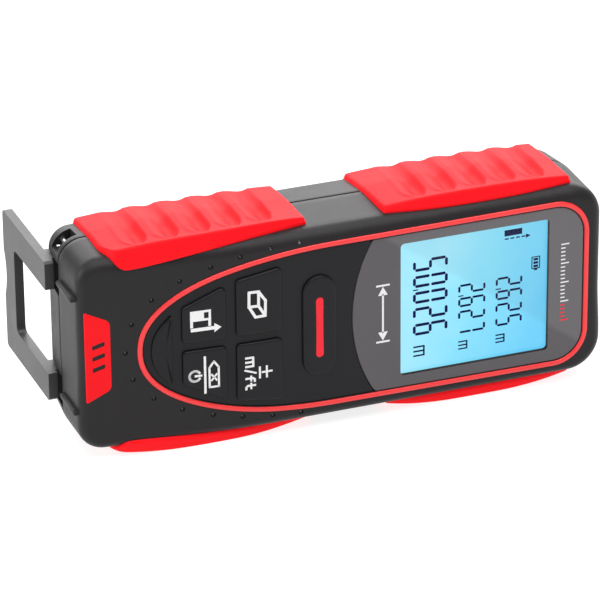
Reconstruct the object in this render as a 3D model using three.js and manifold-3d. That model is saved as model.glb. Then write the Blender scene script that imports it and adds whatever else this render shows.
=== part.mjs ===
// A pocket laser distance meter, 118 mm long, standing on its long side.
// Millimetres, +Z up. +X is the laser end, -X the end with the fold-out bracket,
// the display and the keypad face -Y. Inside the group, x runs along the meter from
// its middle, y is the depth behind the front face and z is measured from its middle.

import * as THREE from 'three';
import Module from 'manifold-3d';
import { mergeVertices } from 'three/addons/utils/BufferGeometryUtils.js';

const wasm = await Module();
wasm.setup();

// ---------------------------------------------------------------- driving dimensions

const HOOK_END = -58;          // end face that carries the bracket
const LASER_END = 59.8;        // end face that the laser leaves
const HALF_WIDTH = 22.05;      // half the housing's width at its seam
const THICKNESS = 26.4;        // front face to back
const SEAM = 15.2;             // depth of the seam between the two housing halves
const GAP = 0.3;               // clearance between pieces that lie against each other
const WALL = 1.9;              // housing wall
const HOOK_RADIUS = 5.5;       // housing corners at the hook end, seen from the front
const LASER_RADIUS = 8.5;      // housing corners at the laser end
const FRONT_ROUND = 3.6;       // rounding of the front face's edge
const BACK_ROUND = 3;          // rounding of the back's edge
const FRONT_DRAFT = 0.45;      // how much narrower the front edge is than the seam
const BACK_DRAFT = 1.05;       // how much narrower the back edge is than the seam

const RAMP_START = -14;        // the face bends back from here towards the hook end
const RAMP_BLEND = 12;         // length of that bend
const RAMP_SLOPE = 0.08;       // slope of the face beyond the bend

const RING_TIP = -44.5;        // pointed end of the red bezel line
const RING_END = 56.45;        // straight end of the bezel line
const RING_HALF = 18.2;        // its half width where the taper starts
const RING_WIDEN = 0.55;       // how much its half width grows towards the laser end
const RING_POWER = 2.2;        // roundness of its tapered half
const RING_LINE = 1.3;         // width of the line
const RING_PROUD = 0.55;       // height of the line above the face
const RING_DEPTH = 0.8;        // depth of the groove it sits in
const RING_CORNER = 7.4;       // radius of its two corners

const LENS_ARC = 35;           // radius of the display cover's curved edge
const LENS_LEFT = 2.1;         // where that edge crosses the middle line
const LENS_THICK = 1.3;
const LCD_CENTRE = 30;         // middle of the display along the meter

const KEY_PROUD = 0.9;         // keys above the face
const KEY_TRAVEL = 0.4;
const BOARD_FRONT = 8.6;       // depth of the circuit board's front
const BOARD_THICK = 1.2;
const DOME_HEIGHT = 0.35;

const HINGE_X = -55.5;         // bracket hinge line
const HINGE_Y = 22;
const ARM_INNER = 9.8;         // bracket arms run between these two distances
const ARM_OUTER = 16.2;
const BRACKET_FACE = -60;      // outer face of the bracket, folded out
const BRACKET_THICK = 2;
const BRACKET_FOOT = 18;
const BRACKET_TIP = 47.5;
const BRACKET_BAR = 7.5;       // width of its outer bar
const PIN_RADIUS = 1;
const PIN_REACH = 18.2;

const GRIP_HALF = 24.5;        // half the width over the grips
const GRIP_SEAT = 20.4;        // the housing is cut back to this under the grips
const GRIP_FRONT = 1.8;
const GRIP_BACK = 24.2;
const GRIPS_X = [[-52.2, -7.8], [8.2, 52.6]];

const CELL_RADIUS = 5.15;      // AAA cell
const CELL_LENGTH = 44.5;
const CELL_DEPTH = 17.6;
const CELL_SIDE = 5.9;
const BAY_LEFT = -27.6;
const BAY_RIGHT = 22.6;
const BAY_HALF = 12.4;
const COVER_THICK = 1.6;

const SCREWS = [[-43, 13], [-43, -13], [52.5, 15.3], [52.5, -15.3]];
const BOSS_RADIUS = 2.5;
const SCREW_RADIUS = 1.05;
const SCREW_HEAD = 1.9;

const OPTICS_LEFT = 26;
const RECEIVER_Z = 4.6;        // receiver lens axis
const LASER_Z = -9.4;          // laser axis
const OPTICS_DEPTH = 18;

const CURVE = 8;               // segments in a rounded corner
const ROUND = 24;              // sides of a round piece

// ---------------------------------------------------------------- materials

const paint = (color, roughness, metalness = 0) =>
  new THREE.MeshStandardMaterial({ color, roughness, metalness });

const charcoal = () => paint(0x2d2b2d, 0.5);
const redRubber = () => paint(0xff1a23, 0.7);
const blackRubber = () => paint(0x1b1b20, 0.6);
const steel = () => paint(0xc8c9cb, 0.35, 1);
const boardGreen = () => paint(0x14512f, 0.5);

// ---------------------------------------------------------------- helpers

function toSolid(geometry) {
  const bare = geometry.clone();
  bare.deleteAttribute('normal');
  bare.deleteAttribute('uv');
  const merged = mergeVertices(bare, 1e-4);
  return new wasm.Manifold(new wasm.Mesh({
    numProp: 3,
    vertProperties: merged.attributes.position.array,
    triVerts: new Uint32Array(merged.index.array),
  }));
}

function toGeometry(solid) {
  const mesh = solid.getMesh();
  const geometry = new THREE.BufferGeometry();
  geometry.setAttribute('position', new THREE.BufferAttribute(mesh.vertProperties, 3));
  geometry.setIndex(new THREE.BufferAttribute(mesh.triVerts, 1));
  geometry.computeVertexNormals();
  return geometry;
}

const cut = (solid, ...tools) => tools.reduce((rest, tool) => rest.subtract(tool), solid);
const join = (...solids) => solids.reduce((whole, solid) => whole.add(solid));

// A box between two corners.
function block(x0, x1, y0, y1, z0, z1) {
  const geometry = new THREE.BoxGeometry(x1 - x0, y1 - y0, z1 - z0);
  return toSolid(geometry.translate((x0 + x1) / 2, (y0 + y1) / 2, (z0 + z1) / 2));
}

// A cylinder through the depth, along the meter, or across it.
function roundThrough(x, z, radius, y0, y1, sides = ROUND) {
  const geometry = new THREE.CylinderGeometry(radius, radius, y1 - y0, sides);
  return toSolid(geometry.translate(x, (y0 + y1) / 2, z));
}

function roundAlong(y, z, radius, x0, x1, sides = ROUND) {
  const geometry = new THREE.CylinderGeometry(radius, radius, x1 - x0, sides);
  return toSolid(geometry.rotateZ(Math.PI / 2).translate((x0 + x1) / 2, y, z));
}

function roundAcross(x, y, radius, z0, z1, sides = ROUND) {
  const geometry = new THREE.CylinderGeometry(radius, radius, z1 - z0, sides);
  return toSolid(geometry.rotateX(Math.PI / 2).translate(x, y, (z0 + z1) / 2));
}

// An (x, z) outline extruded through the depth, with an optional bevel all round.
function slab(shape, y0, y1, bevel = 0, segments = 3) {
  const geometry = new THREE.ExtrudeGeometry(shape, {
    depth: y1 - y0 - 2 * bevel,
    bevelEnabled: bevel > 0,
    bevelThickness: bevel,
    bevelSize: bevel,
    bevelOffset: -bevel,
    bevelSegments: segments,
    curveSegments: CURVE,
  });
  return toSolid(geometry.rotateX(Math.PI / 2).translate(0, y1 - bevel, 0));
}

// An (x, y) outline extruded across the meter.
function band(shape, z0, z1) {
  const geometry = new THREE.ExtrudeGeometry(shape, {
    depth: z1 - z0,
    bevelEnabled: false,
    curveSegments: CURVE,
  });
  return toSolid(geometry.translate(0, 0, z0));
}

function polygon(points) {
  return new THREE.Shape(points.map(([a, b]) => new THREE.Vector2(a, b)));
}

// A rectangle whose corners are rounded by one radius at each end.
function plan(x0, x1, half, leftRadius, rightRadius = leftRadius) {
  const shape = new THREE.Shape();
  shape.moveTo(x0 + leftRadius, -half);
  shape.lineTo(x1 - rightRadius, -half);
  shape.absarc(x1 - rightRadius, -half + rightRadius, rightRadius, -Math.PI / 2, 0);
  shape.lineTo(x1, half - rightRadius);
  shape.absarc(x1 - rightRadius, half - rightRadius, rightRadius, 0, Math.PI / 2);
  shape.lineTo(x0 + leftRadius, half);
  shape.absarc(x0 + leftRadius, half - leftRadius, leftRadius, Math.PI / 2, Math.PI);
  shape.lineTo(x0, -half + leftRadius);
  shape.absarc(x0 + leftRadius, -half + leftRadius, leftRadius, Math.PI, 1.5 * Math.PI);
  return shape;
}

// A stadium between two points of equal x, standing across the meter.
function stadium(x, halfLength, radius) {
  return plan(x - radius, x + radius, halfLength, radius);
}

const group = new THREE.Group();

function add(name, solid, material) {
  const mesh = new THREE.Mesh(toGeometry(solid), material);
  mesh.name = name;
  group.add(mesh);
  return mesh;
}

// Depth of the front face: flat, then bending back towards the hook end.
function faceDepth(x) {
  const past = Math.max(0, RAMP_START - x);
  if (past < RAMP_BLEND) {
    return RAMP_SLOPE * past * past / (2 * RAMP_BLEND);
  }
  return RAMP_SLOPE * (past - RAMP_BLEND / 2);
}

// A layer that follows the face, between two heights above or below it.
function faceLayer(above, below) {
  const stations = [70, RAMP_START, -18, -22, RAMP_START - RAMP_BLEND, -70];
  const top = stations.map((x) => [x, faceDepth(x) - above]);
  const bottom = stations.map((x) => [x, faceDepth(x) + below]).reverse();
  return band(polygon([...bottom, ...top]), -30, 30);
}

// Half width of the bezel line's middle at x.
function bezelHalf(x) {
  if (x > 0) {
    return RING_HALF + RING_WIDEN * x / 45;
  }
  const along = Math.min(1, x / RING_TIP);
  return RING_HALF * (1 - along ** RING_POWER) ** (1 / RING_POWER);
}

// The bezel line's outline, moved outwards by an offset.
function bezelOutline(offset) {
  const grown = (RING_HALF + offset) / RING_HALF;
  const tip = RING_TIP - offset;
  const end = RING_END + offset;
  const radius = RING_CORNER + offset;
  const half = bezelHalf(RING_END) + offset;
  const upper = [];
  for (let step = 0; step <= 16; step += 1) {
    const turn = Math.PI / 2 * step / 16;
    const x = tip * Math.cos(turn) ** (2 / RING_POWER);
    const z = RING_HALF * grown * Math.sin(turn) ** (2 / RING_POWER);
    upper.push([x, z]);
  }
  const shape = new THREE.Shape();
  shape.moveTo(tip, 0);
  upper.slice(1).forEach(([x, z]) => shape.lineTo(x, z));
  shape.lineTo(end - radius, half);
  shape.absarc(end - radius, half - radius, radius, Math.PI / 2, 0, true);
  shape.lineTo(end, radius - half);
  shape.absarc(end - radius, radius - half, radius, 0, -Math.PI / 2, true);
  upper.slice(1).reverse().forEach(([x, z]) => shape.lineTo(x, -z));
  return shape;
}

// ---------------------------------------------------------------- housing

// A flat solid that narrows evenly from the seam to y = end, by an inset all round.
function drafted(end, inset) {
  const shape = plan(HOOK_END, LASER_END, HALF_WIDTH, HOOK_RADIUS, LASER_RADIUS);
  const geometry = new THREE.ExtrudeGeometry(shape, {
    depth: 0.02,
    bevelThickness: Math.abs(end - SEAM),
    bevelSize: inset,
    bevelOffset: -inset,
    bevelSegments: 1,
    curveSegments: CURVE,
  });
  return toSolid(geometry.rotateX(Math.PI / 2).translate(0, SEAM + 0.01, 0));
}

// The space inside the housing at a wall's thickness, between two depths.
function inside(y0, y1, x0 = HOOK_END + 11.5, x1 = LASER_END - 3) {
  return slab(plan(x0, x1, HALF_WIDTH - 2.4 - WALL / 2, 3), y0, y1);
}

const seatUnderGrips = GRIPS_X.flatMap(([x0, x1]) => [1, -1].map((side) => {
  const z0 = side > 0 ? GRIP_SEAT : -30;
  const z1 = side > 0 ? 30 : -GRIP_SEAT;
  return block(x0 - GAP, x1 + GAP, GRIP_FRONT - GAP, GRIP_BACK + GAP, z0, z1);
}));

// Keys: their ends along the meter, the edge near the middle line, and how far out the
// two outer corners lie. The lower row and the upper row differ in sign.
const TRAPEZOIDS = {
  key_reference: [-35.8, -26.2, 0.5, 8.7, 12.7],
  key_clear: [-35.8, -26.2, -1.3, -8.9, -13.6],
  key_volume: [-24.1, -13.9, 0.5, 13.5, 15.2],
  key_units: [-24.1, -13.9, -1.3, -14.5, -15.8],
};
const MEASURE_X = -5.5;
const MEASURE_HALF = 11.6;
const MEASURE_RADIUS = 3.8;

function keyShape([x0, x1, near, leftFar, rightFar], grow) {
  const out = Math.sign(near) * grow;
  const corners = [[x0 - grow, near - out], [x1 + grow, near - out],
    [x1 + grow, rightFar + out], [x0 - grow, leftFar + out]];
  return polygon(near > 0 ? corners : corners.reverse());
}

const KEYS = { key_measure: (grow) => stadium(MEASURE_X, MEASURE_HALF + grow, MEASURE_RADIUS + grow) };
for (const [name, corners] of Object.entries(TRAPEZOIDS)) {
  KEYS[name] = (grow) => keyShape(corners, grow);
}
const STEMS = {
  key_reference: [-31, 5.4],
  key_clear: [-31, -5.8],
  key_volume: [-19, 7.2],
  key_units: [-19, -7.6],
  key_measure: [MEASURE_X, 0],
};

// The opening in the laser end that the black end plate fills.
function endRebate() {
  return block(LASER_END - 4, LASER_END + 1, OPTICS_DEPTH - 7.6, OPTICS_DEPTH + 5.6, -15, 12.8);
}

function frontHousing() {
  const outline = plan(HOOK_END, LASER_END, HALF_WIDTH, HOOK_RADIUS, LASER_RADIUS);
  const rounded = slab(outline, 0, 2 * SEAM, FRONT_ROUND, 5);
  const outside = rounded.intersect(drafted(0, FRONT_DRAFT)).intersect(faceLayer(0, 40));
  const half = outside.intersect(block(-70, 70, -5, SEAM - GAP / 2, -30, 30));
  const hollow = [
    inside(2.2, 20, -24),
    inside(4.8, 20, HOOK_END + WALL + 2),
  ];
  const ribs = [13.1, -13.1].map((z) => join(
    block(HOOK_END - 0.9, HOOK_END + 1, 5, SEAM - 1, z - 0.6, z + 0.6),
    roundAlong(5, z, 0.6, HOOK_END - 0.9, HOOK_END + 1, 12),
  ));
  const bosses = SCREWS.map(([x, z]) => roundThrough(x, z, BOSS_RADIUS, 1.5, SEAM - GAP / 2));
  const pilots = SCREWS.map(([x, z]) => roundThrough(x, z, SCREW_RADIUS + GAP, 7.5, SEAM + 1, 12));
  const groove = slab(bezelOutline(RING_LINE / 2 + GAP), -2, 6)
    .subtract(slab(bezelOutline(-RING_LINE / 2 - GAP), -3, 7))
    .intersect(faceLayer(1, RING_DEPTH + GAP));
  const tray = slab(bezelOutline(-RING_LINE / 2 - 0.5), -2, 6).intersect(faceLayer(1, LENS_THICK + GAP));
  const display = block(LCD_CENTRE - 18, LCD_CENTRE + 18, -1, 8, -16.5, 16.5);
  const keyHoles = Object.keys(KEYS).map((name) => {
    const [x, z] = STEMS[name];
    return roundThrough(x, z, 3.1, -1, 8);
  });
  const badgeSeat = slab(badgeShape(GAP), -1, 8).intersect(faceLayer(1, 0.8 + GAP));
  const solid = cut(join(half, ...ribs), ...hollow);
  const bossed = join(solid, ...bosses);
  return cut(bossed, ...pilots, groove, tray, display, ...keyHoles, badgeSeat, endRebate(),
    ...seatUnderGrips, ...dimples());
}

const DIMPLES = [
  [-46.4, 6.4], [-42, 11.4], [-35.9, 14.9], [-29.2, 17.2], [-22.8, 18.6], [-16.1, 19.4], [-9.7, 19.9],
];

// Fifteen small dimples that follow the tapered half of the bezel line.
function dimples() {
  const places = [[-47.9, 0]];
  for (const [x, z] of DIMPLES) {
    places.push([x, z], [x, -z]);
  }
  return places.map(([x, z]) => roundThrough(x, z, 0.5, faceDepth(x) - 1, faceDepth(x) + 0.35, 8));
}

// The badge's outline: wide at the housing's end, with two rounded corners inside.
function badgeShape(grow) {
  const shape = new THREE.Shape();
  const left = -56.5 - grow;
  const right = -51 + grow;
  shape.moveTo(left, -10.6 - grow);
  shape.lineTo(right - 1.4, -8.6 - grow);
  shape.quadraticCurveTo(right, -8 - grow, right, -6.4);
  shape.lineTo(right, 6.4);
  shape.quadraticCurveTo(right, 8 + grow, right - 1.4, 8.6 + grow);
  shape.lineTo(left, 10.6 + grow);
  return shape;
}

function backHousing() {
  const outline = plan(HOOK_END, LASER_END, HALF_WIDTH, HOOK_RADIUS, LASER_RADIUS);
  const rounded = slab(outline, 2 * SEAM - THICKNESS - 10, THICKNESS, BACK_ROUND, 4);
  const outside = rounded.intersect(drafted(THICKNESS, BACK_DRAFT));
  const half = outside.intersect(block(-70, 70, SEAM + GAP / 2, 40, -30, 30));
  const hollow = join(
    inside(SEAM - 1, THICKNESS - WALL, -28.9),
    inside(SEAM - 1, THICKNESS - BRACKET_THICK - GAP - WALL),
  );
  const bosses = SCREWS.map(([x, z]) => roundThrough(x, z, BOSS_RADIUS, SEAM + GAP / 2, THICKNESS - 1));
  const drilled = (radius, y0, sides) => SCREWS.map(
    ([x, z]) => roundThrough(x, z, radius, y0, THICKNESS + 1, sides));
  const holes = drilled(SCREW_RADIUS + GAP, SEAM - 1, 12);
  const heads = drilled(SCREW_HEAD + GAP, THICKNESS - 3.6, ROUND);
  const bayShape = plan(BAY_LEFT - 1, BAY_RIGHT + 1, BAY_HALF + 1, 1.5);
  const bay = slab(bayShape, THICKNESS - WALL - 1, THICKNESS + 1);
  const knuckles = [1, -1].map((side) => {
    const z0 = side > 0 ? ARM_INNER - 0.5 : -ARM_OUTER - 0.5;
    const z1 = side > 0 ? ARM_OUTER + 0.5 : -ARM_INNER + 0.5;
    return block(HOOK_END - 2, HINGE_X + 6.4, SEAM - 1, THICKNESS + 1, z0, z1);
  });
  const channelFloor = THICKNESS - BRACKET_THICK - GAP;
  const channel = slab(plan(HOOK_END - 3, -29.2, ARM_OUTER + 0.5, 1), channelFloor, THICKNESS + 1)
    .subtract(block(HOOK_END - 4, -37.8, 0, 40, 0.9 - ARM_INNER, ARM_INNER - 0.9));
  const pinHole = roundAcross(HINGE_X, HINGE_Y, PIN_RADIUS + GAP, -PIN_REACH - GAP, PIN_REACH + GAP, 16);
  const eyelet = block(HOOK_END - 1, -53, 17, 21.4, 18, 30);
  const barHole = roundThrough(-54.7, 19.3, 0.6 + GAP, SEAM - 1, 22.6, 12);
  const solid = join(cut(half, hollow), ...bosses);
  return cut(solid, ...holes, ...heads, bay, ...knuckles, channel, pinHole, eyelet, barHole, endRebate(),
    ...seatUnderGrips);
}

// ---------------------------------------------------------------- outside pieces

// One rubber grip: a pad that bulges along its length, with five slanting finger dents.
function grip(x0, x1, side) {
  const middle = (x0 + x1) / 2;
  const outline = new THREE.Shape();
  outline.moveTo(x0, GRIP_SEAT - 6);
  outline.lineTo(x1, GRIP_SEAT - 6);
  outline.lineTo(x1, 22.6);
  outline.quadraticCurveTo(x1 - 6, GRIP_HALF - 0.6, middle + 8, GRIP_HALF);
  outline.lineTo(middle - 8, GRIP_HALF);
  outline.quadraticCurveTo(x0 + 6, GRIP_HALF - 0.6, x0, 22.6);
  const bevel = 1.6;
  const geometry = new THREE.ExtrudeGeometry(outline, {
    depth: GRIP_BACK - GRIP_FRONT - 2 * bevel,
    bevelThickness: bevel,
    bevelSize: bevel,
    bevelOffset: -bevel,
    bevelSegments: 2,
    curveSegments: CURVE,
  });
  const pad = toSolid(geometry.rotateX(Math.PI / 2).translate(0, GRIP_BACK - bevel, 0));
  const above = block(x0 - 1, x1 + 1, GRIP_FRONT - 1, GRIP_BACK + 1, GRIP_SEAT + GAP, 30);
  const dents = [-2, -1, 0, 1, 2].map((step) => {
    const dent = new THREE.SphereGeometry(1, 12, 6);
    dent.scale(2.3, 7.2, 0.7);
    dent.rotateZ(-0.22);
    return toSolid(dent.translate(middle + 7.1 * step, 12.4, GRIP_HALF + 0.1));
  });
  const solid = cut(pad.intersect(above), ...dents);
  return side > 0 ? solid : solid.mirror([0, 0, 1]);
}

// The fold-out bracket: a flat plate with a window, two arms and two hinge knuckles.
function bracket() {
  const half = ARM_OUTER;
  const corner = 0.7;
  const outline = new THREE.Shape();
  outline.moveTo(BRACKET_FOOT, -half);
  outline.lineTo(BRACKET_TIP - corner, -half);
  outline.lineTo(BRACKET_TIP, -half + corner);
  outline.lineTo(BRACKET_TIP, -4);
  outline.quadraticCurveTo(BRACKET_TIP - 1.6, 0, BRACKET_TIP, 4);
  outline.lineTo(BRACKET_TIP, half - corner);
  outline.lineTo(BRACKET_TIP - corner, half);
  outline.lineTo(BRACKET_FOOT, half);
  outline.lineTo(BRACKET_FOOT, ARM_INNER);
  outline.lineTo(BRACKET_TIP - BRACKET_BAR - 1, ARM_INNER);
  outline.lineTo(BRACKET_TIP - BRACKET_BAR, ARM_INNER - 1);
  outline.lineTo(BRACKET_TIP - BRACKET_BAR, 1 - ARM_INNER);
  outline.lineTo(BRACKET_TIP - BRACKET_BAR - 1, -ARM_INNER);
  outline.lineTo(BRACKET_FOOT, -ARM_INNER);
  const flat = new THREE.ExtrudeGeometry(outline, {
    depth: BRACKET_THICK, bevelEnabled: false, curveSegments: 4,
  });
  const turned = new THREE.Matrix4().makeBasis(
    new THREE.Vector3(0, 1, 0), new THREE.Vector3(0, 0, 1), new THREE.Vector3(1, 0, 0));
  flat.applyMatrix4(turned).translate(BRACKET_FACE, 0, 0);
  const knuckles = [1, -1].map((side) => {
    const z0 = side > 0 ? ARM_INNER : -ARM_OUTER;
    const z1 = side > 0 ? ARM_OUTER : -ARM_INNER;
    return join(
      roundAcross(HINGE_X, HINGE_Y, 2.5, z0, z1),
      block(BRACKET_FACE + BRACKET_THICK / 2, HINGE_X, HINGE_Y - 2.5, HINGE_Y + 2.5, z0, z1),
    );
  });
  const bores = roundAcross(HINGE_X, HINGE_Y, PIN_RADIUS + GAP, -20, 20, 16);
  return cut(join(toSolid(flat), ...knuckles), bores);
}

// The lens that covers the display, up to the curved edge beside the keypad.
const arcSide = (radius) => roundThrough(LENS_LEFT + LENS_ARC, 0, radius, -3, 8, 96);
const innerBezel = () => slab(bezelOutline(-RING_LINE / 2 - 0.5 - GAP), -2, 6);

function displayLens() {
  const field = innerBezel().intersect(faceLayer(0.05, LENS_THICK));
  const right = block(LENS_LEFT + LENS_ARC, 80, -3, 8, -30, 30);
  return field.intersect(join(arcSide(LENS_ARC), right));
}

function keypadMat() {
  const field = innerBezel().intersect(faceLayer(0.1, LENS_THICK));
  const right = block(LENS_LEFT + LENS_ARC, 80, -3, 8, -30, 30);
  const crescent = slab(crescentShape(), -2, 6).intersect(faceLayer(0.75, 0.5));
  const mat = join(cut(field, arcSide(LENS_ARC + GAP), right), crescent);
  return cut(mat, ...Object.keys(KEYS).map((name) => slab(KEYS[name](GAP), -3, 8)));
}

// The blank crescent at the keypad's tapered end.
function crescentShape() {
  const shape = new THREE.Shape();
  const [tip, right, low, high] = [-42.4, -38, -8.7, 7.3];
  const middle = (low + high) / 2;
  shape.moveTo(right, low);
  shape.lineTo(right, high);
  shape.bezierCurveTo(right - 3, high - 2.3, tip, middle + 3, tip, middle);
  shape.bezierCurveTo(tip, middle - 3, right - 3, low + 2.3, right, low);
  return shape;
}

// One key: its cap in the mat, and a round stem down to the switch dome.
function key(name) {
  const [x, z] = STEMS[name];
  const cap = slab(KEYS[name](0), -2, 6).intersect(faceLayer(KEY_PROUD, LENS_THICK - 0.45));
  const foot = BOARD_FRONT - DOME_HEIGHT - KEY_TRAVEL - 0.15;
  const stem = roundThrough(x, z, 1.5, faceDepth(x) + 0.3, foot);
  const whole = join(cap, stem);
  return name === 'key_measure' ? cut(whole, slab(stadium(MEASURE_X, 7.4, 1.25), -3, 0)) : whole;
}

// ---------------------------------------------------------------- display and board

function mainBoard() {
  const board = slab(plan(-50, 50.5, 18.4, 1.5), BOARD_FRONT, BOARD_FRONT + BOARD_THICK);
  const clear = SCREWS.map(([x, z]) => roundThrough(x, z, BOSS_RADIUS + 0.5, 0, 30));
  return cut(board, ...clear);
}

// Bent ribbon from the display's edge round to the board.
function ribbon() {
  const start = LCD_CENTRE + 17.8;
  const radius = (BOARD_FRONT - 0.15 - 3) / 2;
  const strip = new THREE.Shape();
  strip.moveTo(start, 3);
  strip.absarc(start + 0.3, 3 + radius, radius, -Math.PI / 2, Math.PI / 2);
  strip.lineTo(start, 3 + 2 * radius);
  strip.absarc(start + 0.3, 3 + radius, radius - 0.16, Math.PI / 2, -Math.PI / 2, true);
  return band(strip, -6, 6);
}

// ---------------------------------------------------------------- battery

function batteryTray() {
  const top = BOARD_FRONT + BOARD_THICK + 1;
  const box = block(BAY_LEFT, BAY_RIGHT, top, THICKNESS - WALL - GAP, -BAY_HALF, BAY_HALF);
  const pocket = block(BAY_LEFT + 1, BAY_RIGHT - 1, top + 1.2, THICKNESS, 1 - BAY_HALF, BAY_HALF - 1);
  const fin = block(BAY_LEFT, BAY_RIGHT, top, CELL_DEPTH, -0.3, 0.3);
  return join(cut(box, pocket), fin);
}

function cell(direction) {
  const half = CELL_LENGTH / 2;
  const nub = direction > 0 ? [half - 1.2, half] : [-half, 1.2 - half];
  const body = direction > 0 ? [-half, nub[0] + 0.1] : [nub[1] - 0.1, half];
  return join(roundAlong(0, 0, CELL_RADIUS, ...body), roundAlong(0, 0, 1.8, ...nub, 12))
    .translate([(BAY_LEFT + BAY_RIGHT) / 2 + 0.85 * direction, CELL_DEPTH, 0]);
}

// A conical spring that presses on a cell's flat end.
class SpringLine extends THREE.Curve {
  constructor(x0, x1) {
    super();
    this.ends = [x0, x1];
  }

  getPoint(t, target = new THREE.Vector3()) {
    const turn = 2 * Math.PI * 3 * t;
    const radius = 3.4 - 1.6 * t;
    const x = this.ends[0] + (this.ends[1] - this.ends[0]) * t;
    return target.set(x, CELL_DEPTH + radius * Math.cos(turn), radius * Math.sin(turn));
  }
}

function spring(x0, x1) {
  const wire = new THREE.Shape();
  wire.absarc(0, 0, 0.25, 0, 2 * Math.PI);
  const coil = new THREE.ExtrudeGeometry(wire, {
    steps: 42, extrudePath: new SpringLine(x0, x1), bevelEnabled: false, curveSegments: 3,
  });
  return toSolid(coil);
}

function batteryCover() {
  const shape = plan(BAY_LEFT - 0.7, BAY_RIGHT + 0.7, BAY_HALF + 0.7, 1.2);
  const plate = slab(shape, THICKNESS - COVER_THICK, THICKNESS);
  const thumb = slab(stadium(BAY_LEFT + 4.5, 5, 1.6), THICKNESS - 0.6, THICKNESS + 1);
  return cut(plate, thumb);
}

// ---------------------------------------------------------------- optics

function opticsChassis() {
  const y0 = OPTICS_DEPTH - 7;
  const y1 = OPTICS_DEPTH + 5.8;
  const frame = block(OPTICS_LEFT, LASER_END - 10.2, y0, y1, -14.4, 12.2);
  const funnel = toSolid(new THREE.CylinderGeometry(5.6, 2.2, 21, ROUND)
    .rotateZ(-Math.PI / 2).translate(OPTICS_LEFT + 13.8, OPTICS_DEPTH, RECEIVER_Z));
  const barrel = roundAlong(OPTICS_DEPTH, LASER_Z, 3.4 + GAP, OPTICS_LEFT + 4, LASER_END);
  return cut(frame, funnel, barrel,
    roundAlong(OPTICS_DEPTH, RECEIVER_Z, 2.6, OPTICS_LEFT - 1, OPTICS_LEFT + 4),
    roundAlong(OPTICS_DEPTH, LASER_Z, 1.4, OPTICS_LEFT - 1, OPTICS_LEFT + 5));
}

function endPlate() {
  const y0 = OPTICS_DEPTH - 7.3;
  const y1 = OPTICS_DEPTH + 5.3;
  const plate = block(LASER_END - 1.8, LASER_END - 0.2, y0, y1, -14.7, 12.5);
  return cut(plate,
    roundAlong(OPTICS_DEPTH - 0.6, RECEIVER_Z, 5.3, LASER_END - 3, LASER_END + 1),
    roundAlong(OPTICS_DEPTH - 0.6, LASER_Z, 2.4, LASER_END - 3, LASER_END + 1));
}

// ---------------------------------------------------------------- assembly

add('front_housing', frontHousing(), charcoal());
add('back_housing', backHousing(), charcoal());

const ringSolid = slab(bezelOutline(RING_LINE / 2), -2, 6)
  .subtract(slab(bezelOutline(-RING_LINE / 2), -3, 7))
  .intersect(faceLayer(RING_PROUD, RING_DEPTH));
add('bezel_line', ringSolid, paint(0xeb4646, 0.35));
add('display_lens', displayLens(), paint(0x69646a, 0.1));
add('keypad_mat', keypadMat(), blackRubber());
for (const name of Object.keys(KEYS)) {
  add(name, key(name), blackRubber());
}
const markSeat = stadium(MEASURE_X, 7.1, 0.95);
add('measure_mark', slab(markSeat, -KEY_PROUD - 0.15, -GAP), paint(0xf01838, 0.4));
add('badge', slab(badgeShape(0), -2, 8).intersect(faceLayer(0.1, 0.8)), redRubber());

for (const [index, end] of ['hook', 'laser'].entries()) {
  for (const [side, level] of [[1, 'upper'], [-1, 'lower']]) {
    add(`grip_${end}_${level}`, grip(...GRIPS_X[index], side), redRubber());
  }
}

add('end_bracket', bracket(), charcoal());
add('hinge_pin', roundAcross(HINGE_X, HINGE_Y, PIN_RADIUS, -PIN_REACH, PIN_REACH, 16), steel());
add('strap_bar', roundThrough(-54.7, 19.3, 0.6, SEAM + 0.6, 22.3, 12), steel());

const panelEnds = [LCD_CENTRE - 17.6, LCD_CENTRE + 17.6];
add('display_panel', block(...panelEnds, 1.9, 3.9, -16.1, 16.1), paint(0x82e1fa, 0.3));
add('display_backlight', block(...panelEnds, 4.3, 6.4, -15.8, 15.8), paint(0xeef6ff, 0.5));
add('display_ribbon', ribbon(), paint(0xb8702a, 0.5));
add('main_board', mainBoard(), boardGreen());
for (const name of Object.keys(KEYS)) {
  const [x, z] = STEMS[name];
  const profile = [[0, 0], [2.4, 0], [1.5, 0.22], [0, DOME_HEIGHT]]
    .map(([radius, height]) => new THREE.Vector2(radius, height));
  const dome = new THREE.LatheGeometry(profile, 16).rotateX(Math.PI);
  add(name.replace('key', 'dome'), toSolid(dome.translate(x, BOARD_FRONT - 0.05, z)), steel());
}
const chip = block(-10, 0, BOARD_FRONT - 1.2, BOARD_FRONT - GAP / 3, 9.5, 16.5);
add('processor', chip, paint(0x202024, 0.5));
const boardBack = BOARD_FRONT + BOARD_THICK;
add('buzzer', roundThrough(-37, 0, 5.5, boardBack + 0.1, boardBack + 4), paint(0x19191c, 0.5));

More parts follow.
